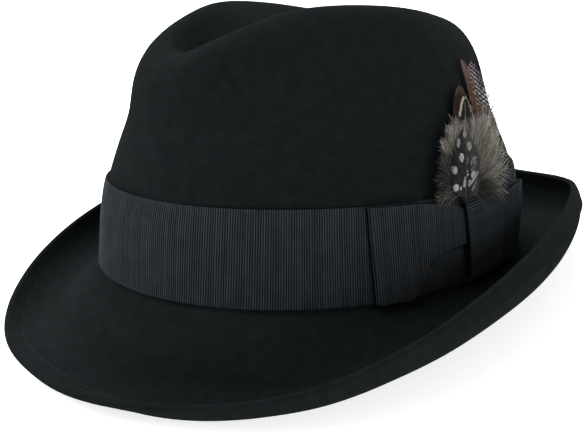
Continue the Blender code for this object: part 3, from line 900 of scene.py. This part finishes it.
def make_wing(name, table, direction, puff, seed, crease):
    """One wing, a flattened loop of ribbon that narrows into the knot, with shade painted beside the knot and, on the
    front wing, under the fold.
    """
    table = np.array(table, float)
    profile = wing_profile(puff)
    count = round(even_rows(profile, 2)[1] / RIB_PITCH) * RIB_LINES + 1
    lines, shades = [], []
    for row, (place, outside, layer) in enumerate(even_rows(profile, count)[0]):
        near = np.clip((UNDER_REACH - place) / (UNDER_REACH - KNOT_WIDTH / 2), 0.0, 1.0)
        aslant = UNDER_SLOPE * layer * near * near * (3 - 2 * near)
        places = np.full(len(ACROSS), place)
        for _ in range(3):
            heights, fold = wing_levels(table, places, layer)
            level = (heights - BOW_MIDDLE_HEIGHT) / RIBBON_WIDTH
            shift = aslant * np.clip(heights - UNDER_MIDDLE, -0.009, 0.007)
            shift = shift + WING_SLANT * level * min(place / WING_LENGTH, 1.0)
            places = np.maximum(place + shift, CLEARANCE + 2e-6 * row)
        along = direction * places
        lines.append([bow_point(a, height, outside) for a, height in zip(along, heights)])
        # Painted shade: the wing darkens beside the knot's edge over the reach given by crease, and the front wing's
        # under layer darkens below the fold.
        shade = painted_crease_shade(along - knot_edge(direction, heights), crease)
        if layer == 1.0 and direction < 0:
            shade = shade * painted_crease_shade(np.maximum(fold - heights, 0.0), FOLD_SHADE_REACH)
        shades.append(shade)
    grid, light = np.array(lines), np.array(shades)
    if direction < 0:
        grid, light = grid[::-1], light[::-1]
    return ribbed_piece(name, grid, BOW_THICKNESS, False, seed, light)


front_wing = make_wing("bow_front_wing_cloth", FRONT_WING, -1, FRONT_PUFF, 21, 0.0012)
rear_wing = make_wing("bow_rear_wing_cloth", REAR_WING, 1, REAR_PUFF, 22, 0.0026)
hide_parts("bow_front_wing")
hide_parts("bow_rear_wing")
print("wing triangles", 2 * len(front_wing.data.polygons), 2 * len(rear_wing.data.polygons))

# %% [markdown]
# ## The knot
#
# A short strip of the same ribbon wraps the middle of the bow from top to bottom, so its ribs lie
# level. It is pulled a little crooked, which makes the ribs climb towards the back and the whole
# strip lean.

# %% Knot
KNOT_VIEW = (
    (-0.500, 0.0, 0.0), (-0.492, 0.5, 0.0), (-0.455, 1.0, 0.0), (-0.300, 1.0, 1.0), (0.000, 1.0, 1.6),
    (0.300, 1.0, 1.0), (0.455, 1.0, 0.0), (0.492, 0.5, 0.0), (0.500, 0.0, 0.0),
)
KNOT_CLIMB = 0.0052
KNOT_SMOOTHINGS = 6


def knot_profile():
    """The side view of the knot, from its tucked lower end to its tucked upper end."""
    under = 2 * CLEARANCE + RIBBON_THICKNESS
    over = under + 2 * BOW_THICKNESS + LOOP_GAP + CLEARANCE
    rows = []
    for rise, depth, bulge in KNOT_VIEW:
        away = under + (over - under) * depth + KNOT_BULGE * bulge + RIBBON_THICKNESS / 2
        rows.append((rise * KNOT_HEIGHT, away, 0.0))
    fine = even_rows(np.array(rows), 240)[0]
    for _ in range(KNOT_SMOOTHINGS):
        fine[1:-1] = (fine[:-2] + 2 * fine[1:-1] + fine[2:]) / 4
    return fine


profile = knot_profile()
knot_rows = even_rows(profile, round(even_rows(profile, 2)[1] / RIB_PITCH) * RIB_LINES + 1)[0]
knot_lines = []
for height, outside, _ in knot_rows:
    steady = max(1 - (2 * height / KNOT_HEIGHT) ** 2, 0.0)
    climbs = KNOT_CLIMB * (ACROSS - 0.5) * steady
    lean = 2 * KNOT_LEAN * height / KNOT_HEIGHT
    knot_lines.append([
        bow_point(KNOT_WIDTH * (share - 0.5) - lean, BOW_MIDDLE_HEIGHT + height + climb, outside)
        for share, climb in zip(ACROSS, climbs)])
knot = ribbed_piece("bow_knot_cloth", np.array(knot_lines)[::-1], RIBBON_THICKNESS, False, 23)
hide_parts("bow_knot")
print("knot triangles", 2 * len(knot.data.polygons))

# %% [markdown]
# ## Tacking stitches
#
# The band and the bow are held by a few small stitches through the ribbon. Each shows as two short
# bits of thread that cross.

# %% Tacks in the ribbon
TACKS = ((-113.5, 31.0, 0.0), (-142.2, 9.7, 0.0), (-55.4, 37.1, 1.0), (-40.8, 8.2, 1.0), (-54.0, 6.0, 1.0))
TACK_LENGTH = 0.0017
TACK_WIDTH = 0.00030
BAND_FACE = CLEARANCE + RIBBON_THICKNESS
WING_FACE = 2 * CLEARANCE + RIBBON_THICKNESS + 2 * BOW_THICKNESS + LOOP_GAP


def make_tacks():
    """Two crossed bits of thread at each tack, on the band or on the front wing."""
    bundle = Bundle()
    chance = np.random.default_rng(29)
    for along, height, on_wing in TACKS:
        outside = BAND_FACE + (WING_FACE - BAND_FACE + FRONT_PUFF / 2) * on_wing
        for lean in (-0.6, 0.7):
            turn = lean + 0.5 * (chance.random() - 0.5)
            steps = np.linspace(-0.5, 0.5, 6) * TACK_LENGTH
            spots = [(along / 1000 + s * math.sin(turn), height / 1000 + s * math.cos(turn)) for s in steps]
            lifts = outside + 0.00035 * np.cos(np.linspace(-1.3, 1.3, 6))
            path = [bow_point(a, h, lift) for (a, h), lift in zip(spots, lifts)]
            facing = [base_frame(bow_angle(a))[1] for a, _ in spots]
            bundle.strand(path, facing, np.full(6, TACK_WIDTH), 0.0002)
    return bundle.piece("ribbon_tacks", THREAD)


tacks = make_tacks()
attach(tacks, "root")
print("tacks", len(TACKS))

# %% [markdown]
# ## The plume: quills and barbs
#
# A feather is a quill with hundreds of barbs that leave it at a slant and lie side by side. Each barb
# here is a real strand, so the edges fray and split as they do on a feather. A place along the quill
# and across the vane goes with every point, which the materials use to paint spots, bars and edges.

# %% Feather function
FEATHER_COLUMNS = ("tip_along", "tip_rise", "width", "bend", "vane", "slot")
FEATHERS = {
    "barred_feather": (0.70, 0.90, 0.34, 0.21, "upper", "barred_vane"),
    "brown_feather_tall": (0.48, 0.94, 0.145, 0.22, "blade", "brown_vane"),
    "brown_feather_short": (0.30, 0.76, 0.28, 0.00, "broad", "brown_vane"),
    "chevron_feather": (0.30, 0.69, 0.32, 0.00, "broad", "cream_vane"),
    "spotted_feather": (0.11, 0.46, 0.34, 0.00, "round", "spotted_vane"),
}
VANES = {
    "slim": (
        (0.0, 0.10), (0.12, 0.24), (0.28, 0.76), (0.45, 1.0), (0.62, 0.92), (0.78, 0.66), (0.91, 0.36),
        (1.0, 0.08),
    ),
    "upper": (
        (0.0, 0.05), (0.30, 0.20), (0.50, 0.50), (0.65, 0.90), (0.80, 1.0), (0.92, 0.72), (1.0, 0.10),
    ),
    "blade": (
        (0.0, 0.10), (0.12, 0.24), (0.28, 0.76), (0.45, 1.0), (0.62, 1.0), (0.78, 0.92), (0.91, 0.76),
        (0.97, 0.52), (1.0, 0.14),
    ),
    "broad": (
        (0.0, 0.10), (0.12, 0.26), (0.28, 0.70), (0.45, 0.94), (0.65, 1.0), (0.83, 0.86), (0.94, 0.52),
        (1.0, 0.12),
    ),
    "round": (
        (0.0, 0.62), (0.12, 0.84), (0.28, 0.97), (0.45, 1.0), (0.65, 0.96), (0.82, 0.76), (0.94, 0.44),
        (1.0, 0.12),
    ),
}
BARB_PITCH = 0.00026
BARB_WIDTH = 0.00034
BARB_THICKNESS = 0.00014
BARB_STEPS = 7
BARB_SWEEP = 1.05
BARB_TAPER = np.array((1.0, 1.05, 1.05, 1.0, 0.9, 0.7, 0.25))
QUILL_STEPS = 18
FEATHER_DEPTH = 0.00025
LAYER_RISE = 0.0006


def plume_root():
    """Where the quills go in, above the front end of the knot."""
    return np.array((-PLUME_OFFSET, BOW_MIDDLE_HEIGHT + KNOT_HEIGHT / 2 + RIBBON_THICKNESS + CLEARANCE))


def layer_outside(layer):
    """How far the inner face of a layer of the plume stands off the crown."""
    return 2 * CLEARANCE + RIBBON_THICKNESS + layer * LAYER_RISE


def surface_normal(along):
    """The way outwards from the crown at a place round the bow."""
    return base_frame(bow_angle(along))[1]


def on_crown(places, outside):
    """Points over flat places beside the bow, the way outwards at each, and the places in centimetres."""
    outside = np.broadcast_to(outside, (len(places),))
    points = np.array([bow_point(p[0], p[1], away) for p, away in zip(places, outside)])
    facing = np.array([surface_normal(p[0]) for p in places])
    return points, facing, np.asarray(places) * 100


def feather_bundle(feather, outside, seed, quill_width, splits=(), tilt=0.0, frays=0.05):
    """A quill with its barbs, following the crown's side at a distance."""
    tip_along, tip_rise, width, bend, vane, _ = feather
    chance = np.random.default_rng(seed)
    root = plume_root()
    line = np.array((tip_along, tip_rise)) * PLUME_LENGTH
    length = float(np.linalg.norm(line))
    side = np.array((line[1], -line[0])) / length
    half_width = width * PLUME_LENGTH / 2
    shape = np.array(VANES[vane])

    def centre(share):
        share = np.asarray(share, float)[..., None]
        return root + line * share + side * (bend * PLUME_LENGTH * 4 * share * (1 - share))

    bundle = Bundle()
    shares = np.linspace(0.0, 0.93, QUILL_STEPS)
    points, facing, places = on_crown(centre(shares), outside + FEATHER_DEPTH + 0.0002 + tilt / 2)
    thin = np.linspace(quill_width, quill_width * 0.25, QUILL_STEPS)
    bundle.strand(points, facing, thin, 0.0002, np.stack([np.zeros(QUILL_STEPS), shares], axis=1), 1.0, places)
    count = int(length / BARB_PITCH)
    steps = np.linspace(0.0, 1.0, BARB_STEPS)
    for hand in (-1, 1):
        for i in range(count):
            tip_share = (i + 0.5) / count
            reach = half_width * float(np.interp(tip_share, shape[:, 0], shape[:, 1]))
            reach *= 1 - frays * 2 * chance.random() ** 2
            for split_hand, low, high, cut in splits:
                if hand == split_hand and low < tip_share < high:
                    reach *= cut
            sweep = BARB_SWEEP * (1 + 0.12 * (chance.random() - 0.5))
            base_share = max(tip_share - sweep * reach / length, 0.01)
            along = base_share + (tip_share - base_share) * (0.6 * steps + 0.4 * steps**2)
            flat = centre(along) + side * (hand * reach * steps)[:, None]
            flat[:, 1] = np.maximum(flat[:, 1], root[1])
            lift = outside + FEATHER_DEPTH + 0.0003 * chance.random() * steps
            lift = lift + tilt * (0.5 + hand * reach * steps / half_width)
            points, facing, places = on_crown(flat, lift)
            across = np.stack([hand * steps, along], axis=1)
            bundle.strand(points, facing, BARB_WIDTH * BARB_TAPER, BARB_THICKNESS, across, chance.random(), places)
    return bundle


print("barbs every", BARB_PITCH * 1000, "mm")

# %% [markdown]
# ## Feather colours
#
# Each vane is painted from two maps. One tells how far out from the quill a point is and how far
# along it. The other tells the place on the crown in centimetres, so marks such as the white spots
# and the cream arch can be listed by where they lie. A mark is a thick line between two places.

# %% Vane materials
def build_vane_group():
    """The place on a vane, the place on the crown, and a streak that follows the barbs."""
    tree, given, result = new_group("vane_place", [("Streak Scale", 40.0)], ["Across", "Out", "Along", "Streak"])
    uv = node(tree, "ShaderNodeUVMap", uv_map="along")
    split = node(tree, "ShaderNodeSeparateXYZ", {0: uv.outputs["UV"]})
    out = node(tree, "ShaderNodeMath", {0: split.outputs["X"]}, operation="ABSOLUTE")
    stretch = node(tree, "ShaderNodeCombineXYZ", {"X": out.outputs[0], "Y": split.outputs["Y"]})
    scaled = node(tree, "ShaderNodeVectorMath", {0: stretch.outputs[0], 1: (0.12, 4.0, 1.0)}, operation="MULTIPLY")
    streak = node(tree, "ShaderNodeTexNoise", {
        "Vector": scaled.outputs[0], "Scale": given.outputs["Streak Scale"], "Detail": 4.0})
    tree.links.new(split.outputs["X"], result.inputs["Across"])
    tree.links.new(out.outputs[0], result.inputs["Out"])
    tree.links.new(split.outputs["Y"], result.inputs["Along"])
    tree.links.new(streak.outputs["Fac"], result.inputs["Streak"])
    return tree


VANE = build_vane_group()


def mark_mask(tree, here, mark):
    """One inside a thick line between two places, and nothing outside it."""
    start = np.array(mark[0:2]) / 10
    step = np.array(mark[2:4]) / 10 - start
    radius = mark[4] / 10
    from_start = node(tree, "ShaderNodeVectorMath", {0: here, 1: (*start, 0.0)}, operation="SUBTRACT").outputs[0]
    cast = node(tree, "ShaderNodeVectorMath", {0: from_start, 1: (*step, 0.0)}, operation="DOT_PRODUCT")
    share = node(tree, "ShaderNodeMath", {0: cast.outputs["Value"], 1: 1 / float(step @ step)}, operation="MULTIPLY",
                 use_clamp=True)
    nearest = node(tree, "ShaderNodeVectorMath", {0: (*step, 0.0), "Scale": share.outputs[0]}, operation="SCALE")
    away = node(tree, "ShaderNodeVectorMath", {0: from_start, 1: nearest.outputs[0]}, operation="SUBTRACT")
    far = node(tree, "ShaderNodeVectorMath", {0: away.outputs[0]}, operation="LENGTH").outputs["Value"]
    return between(tree, far, radius * 1.15, radius * 0.85)


def marks_mask(tree, marks):
    """One inside any of the marks."""
    here = node(tree, "ShaderNodeUVMap", uv_map="place").outputs["UV"]
    masks = [mark_mask(tree, here, mark) for mark in marks]
    whole = masks[0]
    for mask in masks[1:]:
        whole = math_node(tree, "MAXIMUM", whole, mask)
    return whole


def height_on_crown(tree):
    """The height on the crown in centimetres, and the place along."""
    here = node(tree, "ShaderNodeUVMap", uv_map="place").outputs["UV"]
    split = node(tree, "ShaderNodeSeparateXYZ", {0: here})
    return split.outputs["X"], split.outputs["Y"]


def vane_material(name, paint, quill_colour, roughness=0.7):
    """A feather's material, whose colour comes from a paint function."""
    made, tree, shader = new_material(name, roughness, sheen=0.02, specular=0.05)
    place = use_group(tree, VANE)
    quill = math_node(tree, "LESS_THAN", place.outputs["Out"], 0.001)
    tree.links.new(mixed(tree, quill, paint(tree, place), quill_colour), shader.inputs["Base Color"])
    bump = node(tree, "ShaderNodeBump", {"Height": place.outputs["Streak"], "Strength": 0.4, "Distance": 0.0002})
    tree.links.new(bump.outputs["Normal"], shader.inputs["Normal"])
    return made


# Marks by the places of both ends and the radius, in millimetres from the bow's middle and the base
SPOTS = (
    (-10.7, 64.9, -10.5, 65.2, 1.25), (-16.7, 61.5, -16.0, 63.1, 1.0), (-9.6, 59.7, -9.2, 60.3, 1.45),
    (-16.0, 56.0, -15.7, 56.6, 1.5), (-21.1, 51.7, -20.7, 52.2, 1.3), (-21.9, 44.9, -21.1, 45.1, 1.35),
    (-16.3, 45.2, -15.3, 47.9, 0.75), (-13.6, 49.1, -13.5, 50.3, 0.6), (-10.6, 48.3, -9.6, 49.3, 0.95),
    (-13.6, 44.7, -6.7, 49.2, 0.5), (-13.5, 45.0, -12.9, 46.4, 0.55), (-18.6, 44.3, -18.4, 44.7, 0.6),
    (-22.5, 52.0, -22.2, 53.5, 0.45),
)
STREAKS = (
    (-10.4, 53.0, -8.4, 55.2, 0.32), (-9.0, 52.7, -7.0, 55.3, 0.32), (-7.6, 52.6, -5.9, 55.0, 0.32),
    (-12.0, 42.6, -8.6, 45.6, 0.3), (-11.0, 50.6, -8.6, 52.4, 0.25), (-13.4, 53.0, -11.6, 55.6, 0.2),
)
ARCH = (
    (1.1, 78.6, -1.4, 78.1, 0.7), (-1.4, 78.1, -3.6, 76.4, 0.75), (-3.6, 76.4, -7.6, 72.2, 0.75),
    (1.1, 78.6, 2.6, 77.3, 0.7), (2.6, 77.3, 3.3, 75.0, 0.7), (3.3, 75.0, 3.1, 72.4, 0.65),
)


def paint_spotted(tree, place):
    along, _ = height_on_crown(tree)
    dark = mixed(tree, between(tree, place.outputs["Streak"], 0.35, 0.7), (0.013, 0.013, 0.014), (0.032, 0.033, 0.034))
    grey = mixed(tree, between(tree, along, -1.35, -0.9), dark, (0.060, 0.060, 0.060))
    streaked = mixed(tree, math_node(tree, "MULTIPLY", marks_mask(tree, STREAKS), 0.8), grey, (0.34, 0.35, 0.35))
    return mixed(tree, marks_mask(tree, SPOTS), streaked, (0.36, 0.37, 0.37))


def paint_brown(tree, place):
    along, height = height_on_crown(tree)
    base = mixed(tree, between(tree, place.outputs["Streak"], 0.35, 0.68), (0.060, 0.032, 0.022), (0.120, 0.066, 0.050))
    pink = mixed(tree, between(tree, height, 8.1, 9.0), base, (0.155, 0.090, 0.088))
    # Painted highlight: the outer edges of the vane are made lighter.
    edge = math_node(tree, "MULTIPLY", between(tree, place.outputs["Out"], 0.82, 1.0), 0.5)
    edge_highlighted = mixed(tree, edge, pink, (0.24, 0.16, 0.13))
    dark_side = math_node(tree, "MULTIPLY", between(tree, along, 0.55, -0.25), between(tree, height, 8.25, 7.9))
    return mixed(tree, math_node(tree, "MULTIPLY", dark_side, 0.8), edge_highlighted, (0.020, 0.012, 0.007))


def paint_arched(tree, place):
    dark = mixed(tree, between(tree, place.outputs["Streak"], 0.35, 0.7), (0.012, 0.013, 0.012), (0.026, 0.026, 0.022))
    _, height = height_on_crown(tree)
    rim = between(tree, place.outputs["Out"], 0.70, 0.80)
    brown = mixed(tree, math_node(tree, "MULTIPLY", rim, between(tree, height, 6.8, 7.4)), dark, (0.040, 0.024, 0.015))
    return mixed(tree, marks_mask(tree, ARCH), brown, (0.46, 0.43, 0.36))


def paint_barred(tree, place):
    zigzag = math_node(tree, "PINGPONG", math_node(tree, "MULTIPLY", place.outputs["Out"], 3.0), 0.5)
    lean = math_node(tree, "MULTIPLY_ADD", zigzag, 0.018, place.outputs["Along"])
    wobble = math_node(tree, "MULTIPLY_ADD", place.outputs["Streak"], 0.012, lean)
    wave = math_node(tree, "SINE", math_node(tree, "MULTIPLY", wobble, 215.0))
    bars = between(tree, wave, -0.35, 0.25)
    light = mixed(tree, between(tree, place.outputs["Along"], 0.86, 0.93), (0.50, 0.48, 0.48), (0.30, 0.24, 0.29))
    barred = mixed(tree, bars, (0.012, 0.011, 0.012), light)
    _, height = height_on_crown(tree)
    return mixed(tree, between(tree, height, 7.5, 6.9), barred, (0.085, 0.080, 0.062))


VANE_FINISHES = {
    "barred_vane": vane_material("barred_vane", paint_barred, (0.10, 0.09, 0.08)),
    "brown_vane": vane_material("brown_vane", paint_brown, (0.10, 0.055, 0.04)),
    "cream_vane": vane_material("cream_vane", paint_arched, (0.20, 0.20, 0.17)),
    "spotted_vane": vane_material("spotted_vane", paint_spotted, (0.10, 0.10, 0.09)),
}
print("vane materials", sorted(VANE_FINISHES))

# %% Make the feathers
SPLITS = {
    "barred_feather": ((1, 0.50, 0.53, 0.8),),
    "brown_feather_tall": ((-1, 0.70, 0.73, 0.6), (1, 0.84, 0.86, 0.7)),
    "brown_feather_short": ((1, 0.88, 0.90, 0.7),),
    "chevron_feather": (),
    "spotted_feather": ((-1, 0.42, 0.44, 0.85),),
}
TILTS = {"barred_feather": 0.0026, "brown_feather_tall": 0.0012}
QUILL_WIDTHS = {"spotted_feather": 0.0004, "chevron_feather": 0.0006}
for layer, (name, feather) in enumerate(FEATHERS.items()):
    outside = layer_outside(layer)
    if name == "spotted_feather":
        outside += LOCK_THICKNESS * 0.75
    bundle = feather_bundle(feather, outside, 31 + layer, QUILL_WIDTHS.get(name, 0.0005), SPLITS[name],
                            TILTS.get(name, 0.0))
    slot = feather[FEATHER_COLUMNS.index("slot")]
    piece = bundle.piece(name + "_barbs", VANE_FINISHES[slot])
    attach(piece, "root")
    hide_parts(name)
    print(name, "triangles", bundle.triangles())

# %% [markdown]
# ## Down
#
# Round the feathers is soft down: fluffy barbs with no hooks, so that each goes its own way. It is
# made of locks that fan out from the quills' root. Each lock has a slim solid core, so that no light
# comes through, and a few hundred fine strands that leave it and curl. A short list of places tells
# where the down is dark or pale, and the tone in between is blended.

# %% Down material, cores and tones
LOCKS = (
    (-0.22, 0.03, 0.0, 0.85),
    (-0.22, 0.15, 0.0, 1.00),
    (-0.18, 0.28, 0.0, 1.00),
    (-0.13, 0.40, 0.0, 1.00),
    (-0.05, 0.49, 0.0, 1.00),
    (0.05, 0.55, 0.0, 1.00),
    (0.17, 0.51, 0.0, 1.00),
    (0.29, 0.50, 0.1, 1.00),
    (0.42, 0.52, 0.3, 1.00),
    (0.55, 0.54, 0.5, 1.05),
    (0.60, 0.41, 0.8, 1.05),
    (0.56, 0.27, 0.9, 1.00),
    (0.49, 0.13, 1.0, 0.95),
    (0.40, 0.01, 0.9, 0.80),
)
LOCK_BACKING = (0.16, 0.46, 0.0, 2.0)
LOCK_SHAPE = np.array(((0.0, 0.55), (0.2, 0.90), (0.45, 1.0), (0.7, 0.80), (0.88, 0.50), (1.0, 0.12)))
DOWN_OUTSIDE = layer_outside(3) + LOCK_THICKNESS / 2
CORE_FULLNESS = 0.78
CORE_RINGS = 9
CORE_SIDES = 10
# Along and height in millimetres, and how pale the down is there
DOWN_TONES = np.array((
    (-28, 54, 0.14), (-28, 46, 0.14), (-27, 40, 0.48), (-24, 63, 0.70), (-24, 50, 0.16), (-20, 68, 0.68), (-19, 74, 0.62),
    (-8, 70, 0.58), (3, 70, 0.74), (12, 63, 0.82), (12, 56, 0.78), (18, 66, 0.84), (5, 48, 0.70),
    (9, 40, 0.60), (16, 45, 0.70), (0, 58, 0.55), (-5, 40, 0.06), (23, 72, 0.62), (-15, 52, 0.40),
), float)


def down_tone(along, height):
    """How pale the down is at a place, blended from the list by distance."""
    far = (DOWN_TONES[:, 0] - along * 1000) ** 2 + (DOWN_TONES[:, 1] - height * 1000) ** 2
    weight = 1 / (far + 4.0) ** 1.5
    return float((weight * DOWN_TONES[:, 2]).sum() / weight.sum())


def make_down_material():
    made, tree, shader = new_material("down", 0.9, sheen=0.04, specular=0.03)
    tint = node(tree, "ShaderNodeAttribute", attribute_name="tint")
    colour = ramp(tree, tint.outputs["Fac"], [
        (0.00, (0.006, 0.006, 0.006)), (0.25, (0.025, 0.025, 0.022)), (0.50, (0.094, 0.088, 0.073)),
        (0.75, (0.240, 0.222, 0.190)), (1.00, (0.520, 0.500, 0.455))])
    tree.links.new(colour, shader.inputs["Base Color"])
    return made


DOWN = make_down_material()


def lock_frame(row):
    """Root, line to the tip and sideways direction of a lock."""
    foot = np.array((0.0, LOCK_ROOT_RISE))
    line = np.array(row[0:2]) * PLUME_LENGTH - foot
    return plume_root() + foot, line, np.array((line[1], -line[0])) / np.linalg.norm(line)


def lock_fullness(share):
    """The half width of a full lock at a share of its length, as a share of its widest."""
    return float(np.interp(share, LOCK_SHAPE[:, 0], LOCK_SHAPE[:, 1]))


def add_core(points, faces, tints, row):
    """The slim solid inside of a lock."""
    root, line, side = lock_frame(row)
    start = len(points)
    for share in np.linspace(0.0, 0.90, CORE_RINGS):
        full = CORE_FULLNESS * lock_fullness(share)
        for k in range(CORE_SIDES):
            turn = 2 * math.pi * k / CORE_SIDES
            place = root + line * share + side * (math.cos(turn) * full * row[3] * LOCK_WIDTH / 2)
            deep = math.sin(turn) * full * LOCK_THICKNESS / 2
            points.append(bow_point(place[0], place[1], DOWN_OUTSIDE + deep + row[2] * LOCK_LIFT * share**2))
            tints.append(down_tone(place[0], place[1]) * 0.85)
    faces += grid_faces(CORE_RINGS, CORE_SIDES, False, True, start)
    faces.append(tuple(start + k for k in range(CORE_SIDES))[::-1])
    faces.append(tuple(start + (CORE_RINGS - 1) * CORE_SIDES + k for k in range(CORE_SIDES)))


core_points, core_faces, core_tints = [], [], []
for row in (LOCK_BACKING, *LOCKS):
    add_core(core_points, core_faces, core_tints, row)
down_core = add_mesh("feather_fluff_core", core_points, core_faces, DOWN, tint=core_tints)
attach(down_core, "root")
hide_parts("feather_fluff")
print("down core faces", len(core_faces))

# %% Down strands
STRANDS_A_LOCK = 320
STRAND_STEPS = 6
STRAND_TAPER = np.array((0.9, 1.0, 0.95, 0.8, 0.55, 0.15))


def over_spotted(places):
    """Whether any of these places lies over the inner part of the spotted feather, which stays bare."""
    tip_along, tip_rise, width, _, vane, _ = FEATHERS["spotted_feather"]
    line = np.array((tip_along, tip_rise)) * PLUME_LENGTH
    length = float(np.linalg.norm(line))
    from_root = places - plume_root()
    share = from_root @ line / length**2
    aside = np.abs(from_root @ np.array((line[1], -line[0]))) / length
    shape = np.array(VANES[vane])
    reach = np.interp(share, shape[:, 0], shape[:, 1]) * width * PLUME_LENGTH / 2
    return bool(((aside < 0.8 * reach) & (share > 0) & (share < 0.94)).any())


def down_strands(bundle, row, count, chance):
    """Fine strands that leave a lock on all sides and bend forwards and out."""
    root, line, side = lock_frame(row)
    forward = line / np.linalg.norm(line)
    steps = np.linspace(0.0, 1.0, STRAND_STEPS)
    loose = 0.6 + 1.3 * row[2]
    for _ in range(count):
        share = 0.02 + 0.93 * chance.random() ** 0.8
        hand = 2 * chance.random() - 1
        full = lock_fullness(share) * row[3] * LOCK_WIDTH / 2
        start = root + line * share + side * (hand * full * 0.7)
        length = (0.0030 + 0.0050 * chance.random() * loose) * (1.15 - 0.45 * share)
        heading = forward + side * hand * (0.15 + 0.55 * chance.random()) * (0.5 + loose * 0.7)
        heading = heading / np.linalg.norm(heading)
        curl = side * (chance.random() - 0.5) * 0.0035
        deep = (chance.random() - 0.35) * LOCK_THICKNESS * 0.9
        rise = 0.0010 * chance.random() * loose
        places = start + heading * (length * steps)[:, None] + curl * (steps**2)[:, None]
        if over_spotted(places):
            continue
        lift = DOWN_OUTSIDE + deep + rise * steps + row[2] * LOCK_LIFT * share**2
        points, facing, _ = on_crown(places, lift)
        wide = 0.00009 + 0.00007 * chance.random()
        tone = down_tone(*start) + 0.17 * chance.standard_normal() + 0.16 * (chance.random() < 0.14)
        tint = np.clip(tone + 0.10 * steps, 0.02, 1.0)
        bundle.strand(points, facing, wide * STRAND_TAPER, wide * 0.5, tint=tint)


down_bundle = Bundle()
down_chance = np.random.default_rng(47)
for row in LOCKS:
    down_strands(down_bundle, row, STRANDS_A_LOCK, down_chance)
down_piece = down_bundle.piece("feather_fluff_strands", DOWN)
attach(down_piece, "root")
print("down strands", STRANDS_A_LOCK * len(LOCKS), "triangles", down_bundle.triangles())

# %% [markdown]
# ## Floor, light and camera
#
# The studio is a light table under a white sky: the floor glows a little, as a product table does,
# which keeps the shadow faint and lights the underside of the brim. A large soft light stands behind
# on the left, weaker ones at the front left and overhead, and a low one on the right. The camera keeps the photo's angle to the hat: it was
# worked out in the hat's upright frame, so it is moved by the same matrix that lays the hat down.

# %% Floor and lights
FLOOR_HALF_WIDTH = 6.0
FLOOR_GLOW = 0.77
SKY_STRENGTH = 0.45


def make_floor():
    """A wide pale floor that glows a little."""
    wide = FLOOR_HALF_WIDTH
    mesh = bpy.data.meshes.new("studio_floor")
    mesh.from_pydata([(-wide, -wide, 0), (wide, -wide, 0), (wide, wide, 0), (-wide, wide, 0)], [], [(0, 1, 2, 3)])
    made, tree, shader = new_material("studio_table", 0.9)
    shader.inputs["Base Color"].default_value = (0.72, 0.72, 0.72, 1.0)
    shader.inputs["Emission Color"].default_value = (1.0, 1.0, 1.0, 1.0)
    shader.inputs["Emission Strength"].default_value = FLOOR_GLOW
    mesh.materials.append(made)
    floor = bpy.data.objects.new("studio_floor", mesh)
    bpy.context.scene.collection.objects.link(floor)
    return floor


def add_light(name, azimuth, elevation, distance, size, power):
    """A square soft light that looks at the hat from a direction."""
    turn, tilt = math.radians(azimuth), math.radians(elevation)
    place = Vector((math.sin(turn) * math.cos(tilt), -math.cos(turn) * math.cos(tilt), math.sin(tilt))) * distance
    data = bpy.data.lights.new(name, "AREA")
    data.size = size
    data.energy = power
    light = bpy.data.objects.new(name, data)
    light.location = place + Vector((0, 0, 0.06))
    light.rotation_euler = (-place).to_track_quat("-Z", "Y").to_euler()
    bpy.context.scene.collection.objects.link(light)
    return light


make_floor()
add_light("key_light", -130, 48, 1.4, 0.9, 27)
add_light("front_light", -42, 34, 1.4, 0.9, 11)
add_light("fill_light", 110, 10, 1.6, 0.5, 6)
add_light("top_light", -30, 68, 1.5, 0.8, 10)
world = bpy.data.worlds.new("studio_sky")
world.use_nodes = True
world.node_tree.nodes["Background"].inputs["Color"].default_value = (1.0, 1.0, 1.0, 1.0)
world.node_tree.nodes["Background"].inputs["Strength"].default_value = SKY_STRENGTH
bpy.context.scene.world = world
bpy.context.scene.view_settings.view_transform = "Standard"

# %% Camera
CAMERA_AZIMUTH = 51.06
CAMERA_ELEVATION = 14.62
CAMERA_ROLL = 0.66
CAMERA_DISTANCE = 0.4429
CAMERA_SIDE = -0.0090
CAMERA_AIM_HEIGHT = 0.0114
FOCAL_PIXELS = 903.0
IMAGE_WIDTH = 588


def place_camera():
    """The photo's camera, placed in the hat's upright frame and moved with the hat."""
    turn, tilt = math.radians(CAMERA_AZIMUTH), math.radians(CAMERA_ELEVATION)
    back = Vector((math.sin(turn) * math.cos(tilt), -math.cos(turn) * math.cos(tilt), math.sin(tilt)))
    right = Vector((math.cos(turn), math.sin(turn), 0.0))
    up = back.cross(right)
    roll = math.radians(CAMERA_ROLL)
    right_rolled = right * math.cos(roll) + up * math.sin(roll)
    up_rolled = up * math.cos(roll) - right * math.sin(roll)
    target = right * CAMERA_SIDE + Vector((0, 0, CAMERA_AIM_HEIGHT))
    position = target + back * CAMERA_DISTANCE
    matrix = Matrix((right_rolled, up_rolled, back)).transposed().to_4x4()
    matrix.translation = position
    data = bpy.data.cameras.new("photo_camera")
    data.sensor_width = 36.0
    data.lens = data.sensor_width * FOCAL_PIXELS / IMAGE_WIDTH
    data.clip_start = 0.02
    camera = bpy.data.objects.new("photo_camera", data)
    camera.matrix_world = SEAT @ matrix
    bpy.context.scene.collection.objects.link(camera)
    bpy.context.scene.camera = camera
    return camera


camera = place_camera()
print("camera height above the floor in mm", round(camera.matrix_world.translation.z * 1000))
